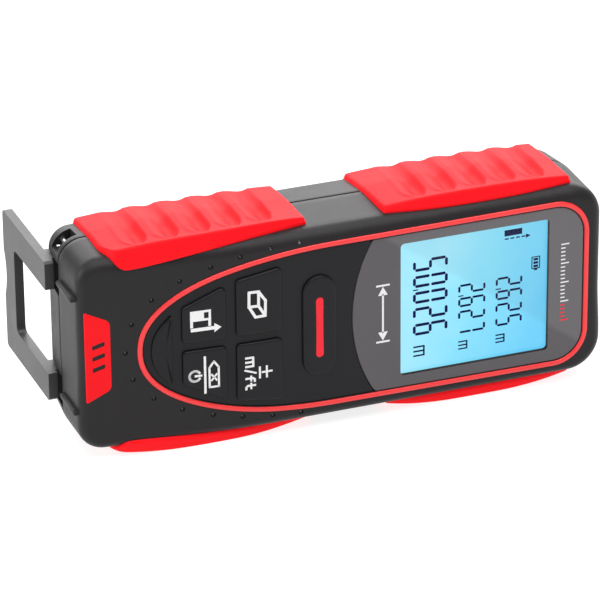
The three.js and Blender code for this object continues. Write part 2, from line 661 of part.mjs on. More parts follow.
add('battery_tray', batteryTray(), paint(0x2a2a2d, 0.6));
for (const [side, level] of [[1, 'upper'], [-1, 'lower']]) {
  const sprung = side > 0 ? BAY_LEFT + 1 : BAY_RIGHT - 1;
  const flat = side > 0 ? BAY_RIGHT - 1 : BAY_LEFT + 1;
  const inward = side > 0 ? 1 : -1;
  add(`cell_${level}`, cell(side).translate([0, 0, side * CELL_SIDE]), paint(0x8f9398, 0.4, 0.6));
  const coil = spring(sprung + inward * 0.5, sprung + inward * 2.1).translate([0, 0, side * CELL_SIDE]);
  add(`contact_spring_${level}`, coil, steel());
  const plate = [flat - inward * 0.7, flat - inward * 0.1].sort((a, b) => a - b);
  const leaf = block(...plate, CELL_DEPTH - 4, CELL_DEPTH + 4, side * CELL_SIDE - 4, side * CELL_SIDE + 4);
  add(`contact_plate_${level}`, leaf, steel());
}
add('battery_cover', batteryCover(), charcoal());

add('optics_chassis', opticsChassis(), paint(0x9a9da1, 0.45, 1));
const laser = roundAlong(OPTICS_DEPTH, LASER_Z, 3.4, OPTICS_LEFT + 5.5, LASER_END - 10);
add('laser_module', laser, paint(0xb08d4a, 0.35, 1));
const detector = roundAlong(OPTICS_DEPTH, RECEIVER_Z, 2.2, OPTICS_LEFT - 1.8, OPTICS_LEFT + 2.5);
add('detector_can', detector, steel());
const detectorBoard = block(
  OPTICS_LEFT - 3.1, OPTICS_LEFT - 2.1, OPTICS_DEPTH - 6, OPTICS_DEPTH + 5, -13, 11);
add('detector_board', detectorBoard, boardGreen());
add('end_plate', endPlate(), paint(0x1a1a1c, 0.4));
const glass = () => paint(0x9fb4c8, 0.05);
const glassDepth = OPTICS_DEPTH - 0.6;
add('receiver_lens', roundAlong(glassDepth, RECEIVER_Z, 5, LASER_END - 2.6, LASER_END - 0.5), glass());
add('laser_window', roundAlong(glassDepth, LASER_Z, 2.1, LASER_END - 1.6, LASER_END - 0.5), glass());

SCREWS.forEach(([x, z], index) => {
  const shank = roundThrough(x, z, SCREW_RADIUS, 8, THICKNESS - 3.2, 12);
  const head = roundThrough(x, z, SCREW_HEAD, THICKNESS - 3.4, THICKNESS - 2.3, 16);
  const slot = join(block(x - 1.2, x + 1.2, THICKNESS - 2.8, THICKNESS, z - 0.25, z + 0.25),
    block(x - 0.25, x + 0.25, THICKNESS - 2.8, THICKNESS, z - 1.2, z + 1.2));
  add(`case_screw_${index + 1}`, cut(join(shank, head), slot), steel());
});

// The origin is the middle of the base: the meter stands on its two lower grips.
const front = -KEY_PROUD - 0.15;
group.position.set(-(BRACKET_FACE + LASER_END) / 2, -(front + BRACKET_TIP) / 2, GRIP_HALF);

export default group;
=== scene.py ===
import math

import bpy
import numpy as np
from mathutils import Matrix, Vector


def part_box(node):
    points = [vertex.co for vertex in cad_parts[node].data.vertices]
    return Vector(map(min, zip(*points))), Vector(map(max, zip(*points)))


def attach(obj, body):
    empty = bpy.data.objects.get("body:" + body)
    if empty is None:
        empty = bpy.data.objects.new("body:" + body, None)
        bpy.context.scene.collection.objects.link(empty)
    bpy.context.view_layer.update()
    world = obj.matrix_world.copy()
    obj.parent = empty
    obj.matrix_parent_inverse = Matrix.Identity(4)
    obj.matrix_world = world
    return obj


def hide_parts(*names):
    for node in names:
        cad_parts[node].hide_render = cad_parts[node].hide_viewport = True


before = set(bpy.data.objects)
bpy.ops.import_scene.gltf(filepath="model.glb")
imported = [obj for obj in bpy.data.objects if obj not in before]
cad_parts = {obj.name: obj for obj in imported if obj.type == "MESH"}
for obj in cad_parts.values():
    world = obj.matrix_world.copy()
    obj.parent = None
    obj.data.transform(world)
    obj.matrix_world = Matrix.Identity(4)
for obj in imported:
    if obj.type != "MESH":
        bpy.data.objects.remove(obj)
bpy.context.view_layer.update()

# Places below are in millimetres on the meter's own axes: x along it from its middle,
# y the depth behind the flat of its front face, z across it from its middle line. The
# laser end is drawn half a millimetre past the CAD's, which is where x is counted from.
MM = 0.001
HOOK_END, LASER_END, CAD_LASER_END = -58.0, 60.3, 59.8
HALF_WIDTH, SEAM, THICKNESS = 22.05, 15.2, 26.4
front_low, front_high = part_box("front_housing")
back_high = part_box("back_housing")[1]
MIDDLE = np.array([
    front_high.x / MM - CAD_LASER_END,
    back_high.y / MM - THICKNESS,
    (front_low.z + front_high.z) / 2 / MM,
])


# ------------------------------------------------------------------------------------
# Charcoal ABS of the two housing halves. The mould is spark eroded, so the plastic has
# a fine matt grain; handling polishes it a little and dust settles in the grain.

HOUSING_COLOUR = (0.0120, 0.0108, 0.0118, 1)
GRAIN_SIZE = 5200.0


def wire(tree, source, target):
    """Joins one socket to another."""
    tree.links.new(source, target)


def node_group(name, inputs, outputs):
    """An empty shader node group with named float or colour sockets."""
    group = bpy.data.node_groups.new(name, "ShaderNodeTree")
    for label, kind, value in inputs:
        socket = group.interface.new_socket(label, in_out="INPUT", socket_type=kind)
        socket.default_value = value
    for label, kind in outputs:
        group.interface.new_socket(label, in_out="OUTPUT", socket_type=kind)
    entry = group.nodes.new("NodeGroupInput")
    leave = group.nodes.new("NodeGroupOutput")
    return group, entry, leave


def add_node(tree, kind, **values):
    """A node with the given properties; a key that names an input sets that input."""
    node = tree.nodes.new(kind)
    for key, value in values.items():
        label = key.replace("_", " ")
        if label in node.inputs:
            node.inputs[label].default_value = value
        else:
            setattr(node, key, value)
    return node


def scale_value(tree, socket, factor, offset=0.0):
    """socket times factor plus offset, as a new socket."""
    node = add_node(tree, "ShaderNodeMath", operation="MULTIPLY_ADD")
    wire(tree, socket, node.inputs[0])
    node.inputs[1].default_value = factor
    node.inputs[2].default_value = offset
    return node.outputs[0]


def moulded_grain_group():
    """Height of a spark-eroded mould: fine noise with a coarser swell under it."""
    group, entry, leave = node_group(
        "moulded_grain",
        [("Size", "NodeSocketFloat", GRAIN_SIZE), ("Swell", "NodeSocketFloat", 0.3)],
        [("Height", "NodeSocketFloat"), ("Patch", "NodeSocketFloat")],
    )
    place = add_node(group, "ShaderNodeTexCoord")
    fine = add_node(group, "ShaderNodeTexNoise", Detail=3.0, Roughness=0.6)
    wide = add_node(group, "ShaderNodeTexNoise", Scale=90.0, Detail=2.0)
    wire(group, place.outputs["Object"], fine.inputs["Vector"])
    wire(group, place.outputs["Object"], wide.inputs["Vector"])
    wire(group, entry.outputs["Size"], fine.inputs["Scale"])
    swell = add_node(group, "ShaderNodeMath", operation="MULTIPLY")
    wire(group, wide.outputs["Fac"], swell.inputs[0])
    wire(group, entry.outputs["Swell"], swell.inputs[1])
    total = add_node(group, "ShaderNodeMath", operation="ADD")
    wire(group, fine.outputs["Fac"], total.inputs[0])
    wire(group, swell.outputs[0], total.inputs[1])
    wire(group, total.outputs[0], leave.inputs["Height"])
    wire(group, wide.outputs["Fac"], leave.inputs["Patch"])
    return group


def settled_dust_group():
    """Mask of dust: patchy noise that shows most where the surface faces up."""
    group, entry, leave = node_group(
        "settled_dust",
        [("Amount", "NodeSocketFloat", 0.2)],
        [("Mask", "NodeSocketFloat")],
    )
    place = add_node(group, "ShaderNodeTexCoord")
    surface = add_node(group, "ShaderNodeNewGeometry")
    noise = add_node(group, "ShaderNodeTexNoise", Scale=420.0, Detail=5.0, Roughness=0.7)
    wire(group, place.outputs["Object"], noise.inputs["Vector"])
    split = add_node(group, "ShaderNodeSeparateXYZ")
    wire(group, surface.outputs["Normal"], split.inputs[0])
    up = add_node(group, "ShaderNodeMapRange", clamp=True)
    up.inputs["From Min"].default_value = -0.2
    wire(group, split.outputs["Z"], up.inputs["Value"])
    patches = add_node(group, "ShaderNodeMapRange", clamp=True)
    patches.inputs["From Min"].default_value = 0.45
    patches.inputs["From Max"].default_value = 0.75
    wire(group, noise.outputs["Fac"], patches.inputs["Value"])
    both = add_node(group, "ShaderNodeMath", operation="MULTIPLY")
    wire(group, up.outputs[0], both.inputs[0])
    wire(group, patches.outputs[0], both.inputs[1])
    dust = add_node(group, "ShaderNodeMath", operation="MULTIPLY", use_clamp=True)
    wire(group, both.outputs[0], dust.inputs[0])
    wire(group, entry.outputs["Amount"], dust.inputs[1])
    wire(group, dust.outputs[0], leave.inputs["Mask"])
    return group


def handling_scuff_group():
    """Mask of fine scratches: noise stretched along two directions and cut thin."""
    group, entry, leave = node_group(
        "handling_scuff",
        [("Density", "NodeSocketFloat", 0.5)],
        [("Mask", "NodeSocketFloat")],
    )
    place = add_node(group, "ShaderNodeTexCoord")
    parts = []
    for turn, stretch in ((0.5, (60, 60, 1900)), (-0.9, (1700, 90, 70))):
        mapping = add_node(group, "ShaderNodeMapping")
        mapping.inputs["Rotation"].default_value = (turn, turn * 0.7, turn * 1.3)
        mapping.inputs["Scale"].default_value = stretch
        noise = add_node(group, "ShaderNodeTexNoise", Scale=1.0, Detail=1.0)
        wire(group, place.outputs["Object"], mapping.inputs["Vector"])
        wire(group, mapping.outputs[0], noise.inputs["Vector"])
        thin = add_node(group, "ShaderNodeMapRange", clamp=True)
        thin.inputs["From Min"].default_value = 0.68
        thin.inputs["From Max"].default_value = 0.74
        wire(group, noise.outputs["Fac"], thin.inputs["Value"])
        parts.append(thin.outputs[0])
    most = add_node(group, "ShaderNodeMath", operation="MAXIMUM")
    wire(group, parts[0], most.inputs[0])
    wire(group, parts[1], most.inputs[1])
    mask = add_node(group, "ShaderNodeMath", operation="MULTIPLY", use_clamp=True)
    wire(group, most.outputs[0], mask.inputs[0])
    wire(group, entry.outputs["Density"], mask.inputs[1])
    wire(group, mask.outputs[0], leave.inputs["Mask"])
    return group


GRAIN = moulded_grain_group()
DUST = settled_dust_group()
SCUFF = handling_scuff_group()
DUST_COLOUR = (0.32, 0.31, 0.30, 1)


def use_group(tree, group, **values):
    """One copy of a node group in a material, with its own values."""
    node = tree.nodes.new("ShaderNodeGroup")
    node.node_tree = group
    for key, value in values.items():
        node.inputs[key].default_value = value
    return node


def surface_material(name, colour, roughness, second=None, metallic=0.0, grain=GRAIN_SIZE,
                     bump=0.12, dust=0.12, scuff=0.2, coat=0.0, gloss=0.5, vary=0.06):
    """A material whose colour drifts between two tones, with grain, scuffs and dust."""
    material = bpy.data.materials.new(name)
    material.use_nodes = True
    tree = material.node_tree
    shader = tree.nodes["Principled BSDF"]
    shader.inputs["Metallic"].default_value = metallic
    shader.inputs["Coat Weight"].default_value = coat
    shader.inputs["Coat Roughness"].default_value = 0.12
    shader.inputs["Specular IOR Level"].default_value = gloss
    marks = use_group(tree, GRAIN, Size=grain)
    tone = add_node(tree, "ShaderNodeMix", data_type="RGBA")
    tone.inputs["A"].default_value = colour
    tone.inputs["B"].default_value = second or tuple(c * 1.3 for c in colour[:3]) + (1,)
    wire(tree, marks.outputs["Patch"], tone.inputs["Factor"])
    settled = use_group(tree, DUST, Amount=dust)
    dusty = add_node(tree, "ShaderNodeMix", data_type="RGBA")
    dusty.inputs["B"].default_value = DUST_COLOUR
    wire(tree, settled.outputs["Mask"], dusty.inputs["Factor"])
    wire(tree, tone.outputs["Result"], dusty.inputs["A"])
    wire(tree, dusty.outputs["Result"], shader.inputs["Base Color"])
    rubbed = use_group(tree, SCUFF, Density=scuff)
    patchy = scale_value(tree, marks.outputs["Patch"], vary * 2, roughness - vary)
    polished = add_node(tree, "ShaderNodeMath", operation="MULTIPLY_ADD", use_clamp=True)
    wire(tree, rubbed.outputs["Mask"], polished.inputs[0])
    polished.inputs[1].default_value = 0.25 if roughness < 0.3 else -0.15
    wire(tree, patchy, polished.inputs[2])
    wire(tree, polished.outputs[0], shader.inputs["Roughness"])
    raised = add_node(tree, "ShaderNodeBump", Strength=bump)
    raised.inputs["Distance"].default_value = 0.0002
    wire(tree, marks.outputs["Height"], raised.inputs["Height"])
    wire(tree, raised.outputs[0], shader.inputs["Normal"])
    return material


charcoal = surface_material("charcoal_abs", HOUSING_COLOUR, 0.42, bump=0.16, dust=0.02, gloss=0.2)


# ------------------------------------------------------------------------------------
# Front housing: one ABS moulding, open at the back, that carries the keypad and the
# display in a shallow field. Its face bends back towards the hook end, its edge is
# rounded, and the sides widen slightly down to the seam.

HOOK_RADIUS, LASER_RADIUS = 5.5, 7.6
EDGE_ROUND, LOW_EDGE_ROUND, END_EDGE_ROUND = 3.1, 2.1, 2.3
FRONT_DRAFT, BACK_DRAFT = 0.45, 1.05
RAMP_START, RAMP_BLEND, RAMP_SLOPE = -14.0, 12.0, 0.08
RING_TIP, RING_END, RING_SHIFT = -44.8, 56.15, -0.25
RING_HALF, RING_WIDEN, RING_POWER, RING_CORNER = 18.55, 0.30, 2.2, 7.4
FIELD_EDGE, FIELD_DEPTH, WALL = 0.72, 1.7, 1.9
SEAM_GAP, SEAM_BEVEL = 0.15, 0.25
AROUND = 360


def face_depth(x):
    """Depth of the face: flat, then a parabola into a straight slope to the hook end."""
    past = np.maximum(0.0, RAMP_START - np.asarray(x, float))
    bend = RAMP_SLOPE * past ** 2 / (2 * RAMP_BLEND)
    straight = RAMP_SLOPE * (past - RAMP_BLEND / 2)
    return np.where(past < RAMP_BLEND, bend, straight)


def even_ring(points, count=AROUND):
    """Points at equal steps of length round a closed outline."""
    closed = np.vstack([points, points[:1]])
    step = np.linalg.norm(np.diff(closed, axis=0), axis=1)
    length = np.concatenate([[0], np.cumsum(step)])
    at = np.linspace(0, length[-1], count, endpoint=False)
    return np.stack([np.interp(at, length, closed[:, 0]), np.interp(at, length, closed[:, 1])], 1)


def ring_normals(ring):
    """Outward unit normals of a ring of points in order."""
    along = np.roll(ring, -1, 0) - np.roll(ring, 1, 0)
    along /= np.linalg.norm(along, axis=1, keepdims=True)
    normal = np.stack([along[:, 1], -along[:, 0]], 1)
    area = np.sum(ring[:, 0] * np.roll(ring[:, 1], -1) - np.roll(ring[:, 0], -1) * ring[:, 1])
    return normal if area > 0 else -normal


def round_corners(corners, radii, steps=10):
    """A polygon whose corners are arcs: each arc is tangent to the two sides it joins."""
    corners = np.asarray(corners, float)
    radii = np.broadcast_to(radii, len(corners))
    pieces = []
    for index, corner in enumerate(corners):
        before = corners[index - 1] - corner
        after = corners[(index + 1) % len(corners)] - corner
        before /= np.linalg.norm(before)
        after /= np.linalg.norm(after)
        half = math.acos(np.clip(before @ after, -1, 1)) / 2
        reach = radii[index] / math.tan(half)
        inward = (before + after) / np.linalg.norm(before + after)
        middle = corner + inward * radii[index] / math.sin(half)
        start, end = corner + before * reach - middle, corner + after * reach - middle
        a0, a1 = math.atan2(start[1], start[0]), math.atan2(end[1], end[0])
        turn = (a1 - a0 + math.pi) % (2 * math.pi) - math.pi
        at = a0 + turn * np.linspace(0, 1, steps)
        pieces.append(middle + radii[index] * np.stack([np.cos(at), np.sin(at)], 1))
    return np.vstack(pieces)


def start_at_tip(ring):
    """The same ring, beginning at its point nearest the hook end on the middle line."""
    tip = np.argmin(ring[:, 0] + 0.2 * np.abs(ring[:, 1]))
    return np.roll(ring, -tip, axis=0)


def box_corners(x0, x1, z0, z1):
    """The four corners of a rectangle, in order."""
    return [(x0, z0), (x1, z0), (x1, z1), (x0, z1)]


BODY_RING = start_at_tip(even_ring(round_corners(
    box_corners(HOOK_END, LASER_END, -HALF_WIDTH, HALF_WIDTH),
    (HOOK_RADIUS, LASER_RADIUS, LASER_RADIUS, HOOK_RADIUS), 40)))
BODY_NORMAL = ring_normals(BODY_RING)


def bezel_ring():
    """A superellipse from the tip to x = 0, then nearly straight sides and two arcs."""
    turn = np.linspace(-np.pi / 2, np.pi / 2, 241)
    power = 2 / RING_POWER
    x = RING_TIP * np.cos(turn) ** power
    z = RING_HALF * np.sign(np.sin(turn)) * np.abs(np.sin(turn)) ** power
    half = RING_HALF + RING_WIDEN * RING_END / 45
    corner = round_corners(
        [(0, -RING_HALF), (RING_END, -half), (RING_END, half), (0, RING_HALF)],
        (0.01, RING_CORNER, RING_CORNER, 0.01), 40)[40:120]
    return start_at_tip(even_ring(np.vstack([np.stack([x, z], 1)[::-1], corner])) + (0, RING_SHIFT))


BEZEL = bezel_ring()
BEZEL_NORMAL = ring_normals(BEZEL)


def finish_mesh(name, points, faces, material, sharp=40.0):
    """An object from points in millimetres: facing out, smooth but for its sharp edges."""
    mesh = bpy.data.meshes.new(name)
    points = (np.asarray(points, float) + MIDDLE) * MM
    corners = [[face[0], face[i], face[i + 1]] for face in faces for i in range(1, len(face) - 1)]
    a, b, c = (points[np.array(corners)[:, i]] for i in range(3))
    if np.sum(a * np.cross(b, c)) < 0:
        faces = [face[::-1] for face in faces]
    mesh.from_pydata(points.tolist(), [], faces)
    mesh.update()
    mesh.shade_smooth()
    mesh.set_sharp_from_angle(angle=math.radians(sharp))
    mesh.materials.append(material)
    piece = bpy.data.objects.new(name, mesh)
    bpy.context.scene.collection.objects.link(piece)
    return piece


def ring_faces(count, around, ends):
    """Quads between rings; the ends are joined to each other or closed by a fan."""
    here = np.arange(around)
    there = (here + 1) % around
    row = np.arange(count if ends == "joined" else count - 1)[:, None]
    following = (row + 1) % count
    quads = np.stack([row * around + here, row * around + there,
                      following * around + there, following * around + here], -1)
    faces = quads.reshape(-1, 4).tolist()
    if ends == "fanned":
        low = np.stack([there, here, np.full(around, count * around)], -1)
        last = (count - 1) * around
        high = np.stack([last + here, last + there, np.full(around, count * around + 1)], -1)
        faces += np.vstack([low, high]).tolist()
    return faces


def ring_skin(name, rows, material, ends="fanned", sharp=40.0):
    """A closed skin through rings of points, each row a ring of (x, y, z)."""
    rows = np.asarray(rows, float)
    points = rows.reshape(-1, 3)
    if ends == "fanned":
        points = np.vstack([points, rows[0].mean(0), rows[-1].mean(0)])
    return finish_mesh(name, points, ring_faces(*rows.shape[:2], ends), material, sharp)


def at_depth(ring, depth):
    """A ring of (x, z) at one depth, or at one depth for each point."""
    return np.stack([ring[:, 0], np.broadcast_to(depth, len(ring)), ring[:, 1]], 1)


def boolean_cut(piece, cutters, operation="DIFFERENCE"):
    """Cuts or joins closed pieces in turn, then keeps the result as the piece's mesh."""
    for cutter in cutters:
        change = piece.modifiers.new("cut", "BOOLEAN")
        change.operation = operation
        change.solver = "EXACT"
        change.object = cutter
    graph = bpy.context.evaluated_depsgraph_get()
    mesh = bpy.data.meshes.new_from_object(piece.evaluated_get(graph))
    piece.modifiers.clear()
    piece.data = mesh
    for cutter in cutters:
        bpy.data.objects.remove(cutter)
    return piece


def draft_at(y):
    """How far the side stands inside the seam's outline at a depth."""
    front = FRONT_DRAFT * (SEAM - y) / SEAM
    back = BACK_DRAFT * (y - SEAM) / (THICKNESS - SEAM)
    return np.where(y < SEAM, front, back)


def front_rows():
    """Field wall, face, rounded edge, drafted side, seam lip, then back up inside."""
    low = np.clip((-BODY_RING[:, 1] - 2) / 12, 0, 1)
    low = low * low * (3 - 2 * low)
    from_end = np.minimum(BODY_RING[:, 0] - HOOK_END, LASER_END - BODY_RING[:, 0])
    inland = np.clip(from_end / 9, 0, 1) ** 0.7
    side_round = EDGE_ROUND + (LOW_EDGE_ROUND - EDGE_ROUND) * low
    edge_round = END_EDGE_ROUND + (side_round - END_EDGE_ROUND) * inland
    field = BEZEL - BEZEL_NORMAL * FIELD_EDGE
    rows = [at_depth(field, face_depth(field[:, 0]) + FIELD_DEPTH), at_depth(field, face_depth(field[:, 0]))]
    rim = BODY_RING - BODY_NORMAL * (edge_round + FRONT_DRAFT * (1 - low))[:, None]
    for share in np.linspace(0, 1, 9):
        ring = (BEZEL - BEZEL_NORMAL * (FIELD_EDGE - 0.25)) * (1 - share) + rim * share
        rows.append(at_depth(ring, face_depth(ring[:, 0])))
    start = face_depth(rim[:, 0])
    for turn in np.linspace(0, np.pi / 2, 10)[1:]:
        depth = start + edge_round * (1 - math.cos(turn))
        inset = edge_round * (1 - math.sin(turn)) + draft_at(depth) * (1 - low)
        rows.append(at_depth(BODY_RING - BODY_NORMAL * inset[:, None], depth))
    top = start + edge_round
    for share in np.linspace(0, 1, 9)[1:]:
        depth = top + (SEAM - 0.4 - top) * share
        rows.append(at_depth(BODY_RING - BODY_NORMAL * (draft_at(depth) * (1 - low))[:, None], depth))
    for inset, depth in ((0.08, SEAM - 0.22), (SEAM_BEVEL, SEAM - SEAM_GAP), (WALL, SEAM - SEAM_GAP)):
        rows.append(at_depth(BODY_RING - BODY_NORMAL * inset, depth))
    rows.append(at_depth(BODY_RING - BODY_NORMAL * 2.6, top + 1.5))
    rows.append(at_depth(BODY_RING - BODY_NORMAL * 5.4, start + 2.2))
    return rows


# Small round pits beside the bezel, a thumb's guide round the keypad's end.
DIMPLES = [(-47.9, 0.0)] + [(x, side * z) for side in (1, -1) for x, z in (
    (-46.4, 6.4), (-42.0, 11.4), (-35.9, 14.9), (-29.2, 17.2), (-22.8, 18.6), (-16.1, 19.4), (-9.7, 19.9))]
DIMPLE_RADIUS = (0.56, 0.75, 0.56)
pit_gloss = surface_material("polished_pit_abs", (0.02, 0.02, 0.02, 1), 0.2,
                             bump=0.0, dust=0.0, scuff=0.0, gloss=1.0)


def pit(centre, radii, steps=12):
    """An ellipsoid: circles of latitude carried from pole to pole; it leaves polished walls."""
    turn = np.linspace(0, 2 * np.pi, 2 * steps, endpoint=False)
    rows = []
    for tilt in np.linspace(-np.pi / 2, np.pi / 2, steps + 1)[1:-1]:
        flat = math.cos(tilt)
        rows.append(np.stack([flat * np.cos(turn), np.full(len(turn), math.sin(tilt)),
                              flat * np.sin(turn)], 1) * radii + centre)
    cutter = ring_skin("cutter", rows, charcoal)
    cutter.data.materials.append(pit_gloss)
    cutter.data.polygons.foreach_set("material_index", np.ones(len(cutter.data.polygons), np.int32))
    return cutter


END_WINDOW = (-15.0, 12.8, 10.4, 23.6)
RIB_PLACE = 13.1


def end_window():
    """The opening in the laser end that the end plate fills."""
    z0, z1, y0, y1 = END_WINDOW
    ring = even_ring(round_corners(box_corners(z0, z1, y0, y1), 1.2), 64)
    rows = [np.stack([np.full(64, x), ring[:, 1], ring[:, 0]], 1) for x in (LASER_END - 4, LASER_END + 1)]
    return ring_skin("cutter", rows, charcoal)


def end_rib(z):
    """A rounded rib on the hook end that stops the folded bracket."""
    ring = even_ring(round_corners(box_corners(z - 0.62, z + 0.62, 4.3, SEAM - 0.9), 0.6), 48)
    rows = []
    for x, shrink in ((HOOK_END + 0.6, 0), (HOOK_END - 0.55, 0), (HOOK_END - 0.78, 0.07),
                      (HOOK_END - 0.9, 0.25)):
        inner = ring - ring_normals(ring) * shrink
        rows.append(np.stack([np.full(48, x), inner[:, 1], inner[:, 0]], 1))
    return ring_skin("rib", rows, charcoal)


front_housing = ring_skin("front_shell", front_rows(), charcoal, ends="joined")
front_housing.data.materials.append(pit_gloss)
boolean_cut(front_housing, [end_window()] + [
    pit((x, float(face_depth(x)), z), DIMPLE_RADIUS) for x, z in DIMPLES])
boolean_cut(front_housing, [end_rib(z) for z in (RIB_PLACE, -RIB_PLACE)], "UNION")
front_housing.data.set_sharp_from_angle(angle=math.radians(38))
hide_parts("front_housing")
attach(front_housing, "meter")


# ------------------------------------------------------------------------------------
# Back housing: the second ABS moulding, screwed to the front one. It has the battery
# bay's opening, a channel that the bracket folds flush into, two knuckle pockets at
# the hook end, a corner eyelet for the wrist strap and four countersunk screw holes.

BACK_ROUND, SCREW_HOLE = 3.0, 2.2
ARM_INNER, ARM_OUTER = 9.8, 16.2
HINGE_X, HINGE_Y = -55.5, 22.0
BAY_LEFT, BAY_RIGHT, BAY_HALF = -27.6, 22.6, 12.4
CHANNEL_END, HOLLOW_HALF = -29.2, 18.7
SCREW_PLACES = ((-43.0, 13.0), (-43.0, -13.0), (52.5, 15.3), (52.5, -15.3))
EYELET = (-54.7, 19.3)


def back_rows():
    """Seam lip, drafted side, rounded edge and flat back, as rings."""
    rows = [at_depth(BODY_RING - BODY_NORMAL * SEAM_BEVEL, SEAM + SEAM_GAP),
            at_depth(BODY_RING - BODY_NORMAL * 0.08, SEAM + 0.22)]
    top = THICKNESS - BACK_ROUND
    for depth in np.linspace(SEAM + 0.4, top, 9):
        rows.append(at_depth(BODY_RING - BODY_NORMAL * draft_at(depth), depth))
    for turn in np.linspace(0, np.pi / 2, 10)[1:]:
        depth = top + BACK_ROUND * math.sin(turn)
        inset = BACK_ROUND * (1 - math.cos(turn)) + draft_at(depth)
        rows.append(at_depth(BODY_RING - BODY_NORMAL * inset, depth))
    return rows


def prism(ring, y0, y1):
    """An upright prism on a ring of (x, z), between two depths."""
    return ring_skin("cutter", [at_depth(ring, y0), at_depth(ring, y1)], charcoal)


def slab(x0, x1, z0, z1, y0, y1, radius=1.0, count=64):
    """A rectangular cutter with rounded upright edges."""
    ring = even_ring(round_corners(box_corners(x0, x1, z0, z1), radius), count)
    return prism(ring, y0, y1)


def round_cutter(x, z, radius, y0, y1, count=40):
    """A round cutter through the depth."""
    turn = np.linspace(0, 2 * np.pi, count, endpoint=False)
    return prism(np.stack([x + radius * np.cos(turn), z + radius * np.sin(turn)], 1), y0, y1)


def channel_cutter():
    """The bracket's flush recess: a slab less the island that fills the bracket's window."""
    half = ARM_OUTER + 0.5
    recess = slab(HOOK_END - 3, CHANNEL_END, -half, half, THICKNESS - 2.3, THICKNESS + 1, 1.6)
    inner = ARM_INNER - 0.9
    island = slab(HOOK_END - 4, -37.8, -inner, inner, THICKNESS - 3, THICKNESS + 2, 0.8)
    return boolean_cut(recess, [island])


back_housing = ring_skin("back_shell", back_rows(), charcoal)
cutters = [
    # the hollow, shallower under the bracket's channel, then the bay's opening
    slab(-46.5, -28.9, -HOLLOW_HALF, HOLLOW_HALF, SEAM - 1, 22.2, 3),
    slab(-29.5, LASER_END - 3, -HOLLOW_HALF, HOLLOW_HALF, SEAM - 1, THICKNESS - WALL, 3),
    slab(BAY_LEFT - 1, BAY_RIGHT + 1, -BAY_HALF - 1, BAY_HALF + 1, THICKNESS - 3, THICKNESS + 1, 1.5),
    channel_cutter(),
    end_window(),
    # the strap's eyelet, and the finger notch that lifts the folded bracket
    slab(HOOK_END - 1, -53.0, 18.0, 30.0, 17.0, 21.4, 0.8),
    slab(-33, CHANNEL_END + 0.1, -5, 5, THICKNESS - 0.9, THICKNESS + 1, 1.2),
]
for side in (1, -1):
    z0, z1 = sorted((side * (ARM_INNER - 0.5), side * (ARM_OUTER + 0.5)))
    cutters.append(slab(HOOK_END - 2, HINGE_X + 6.4, z0, z1, SEAM - 1, THICKNESS + 1, 0.4))
cutters += [round_cutter(x, z, SCREW_HOLE, THICKNESS - 3.6, THICKNESS + 1) for x, z in SCREW_PLACES]
boolean_cut(back_housing, cutters)
back_housing.data.set_sharp_from_angle(angle=math.radians(30))
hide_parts("back_housing")
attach(back_housing, "meter")


# ------------------------------------------------------------------------------------
# Bezel line: a glossy red ABS bead round the keypad and the display. It is moulded as one
# loop and pressed into a groove in the front housing.

RING_LINE, RING_PROUD = 1.1, 0.38


def bezel_rows():
    """A half ellipse that stands on the face, carried round the bezel's outline."""
    rows = []
    for turn in np.linspace(0, np.pi, 13):
        ring = BEZEL + BEZEL_NORMAL * RING_LINE / 2 * math.cos(turn)
        rows.append(at_depth(ring, face_depth(ring[:, 0]) - RING_PROUD * math.sin(turn) ** 0.8))
    for offset in (-0.5, 0.5):
        ring = BEZEL + BEZEL_NORMAL * RING_LINE * offset
        rows.append(at_depth(ring, face_depth(ring[:, 0]) + 0.7))
    return rows


bezel_red = surface_material("bezel_red_abs", (0.80, 0.022, 0.026, 1), 0.34, (0.86, 0.030, 0.032, 1),
                             grain=9000, bump=0.03, dust=0.02, gloss=0.5, scuff=0.1)
bezel_line = ring_skin("bezel_bead", bezel_rows(), bezel_red, ends="joined", sharp=70)
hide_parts("bezel_line")
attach(bezel_line, "meter")


# ------------------------------------------------------------------------------------
# Keypad mat: one moulded sheet of black silicone that fills the bezel's tapered end up
# to the display cover. A blank crescent and the five keys stand up out of it.

LENS_ARC, LENS_LEFT = 35.0, 2.1
KEY_PROUD, KEY_EDGE = 0.62, 0.5
MAT_SINK = 0.12
FIELD_RING = BEZEL - BEZEL_NORMAL * (FIELD_EDGE + 0.06)


def field_part(left, gap):
    """The field's outline on one side of the arc between keypad and display."""
    centre, radius = LENS_LEFT + LENS_ARC, LENS_ARC + gap
    away = np.hypot(FIELD_RING[:, 0] - centre, FIELD_RING[:, 1])
    outside = (away > radius) & (FIELD_RING[:, 0] < centre)
    kept = FIELD_RING[outside == left]
    first = np.argmax(np.abs(np.diff(np.vstack([kept, kept[:1]]), axis=0)).sum(1))
    kept = np.roll(kept, -(first + 1), axis=0)
    start, end = (math.atan2(p[1], p[0] - centre) % (2 * math.pi) for p in (kept[-1], kept[0]))
    turn = np.linspace(start, end, 60)
    arc = np.stack([centre + radius * np.cos(turn), radius * np.sin(turn)], 1)
    return even_ring(np.vstack([kept, arc[1:-1]]), 320)


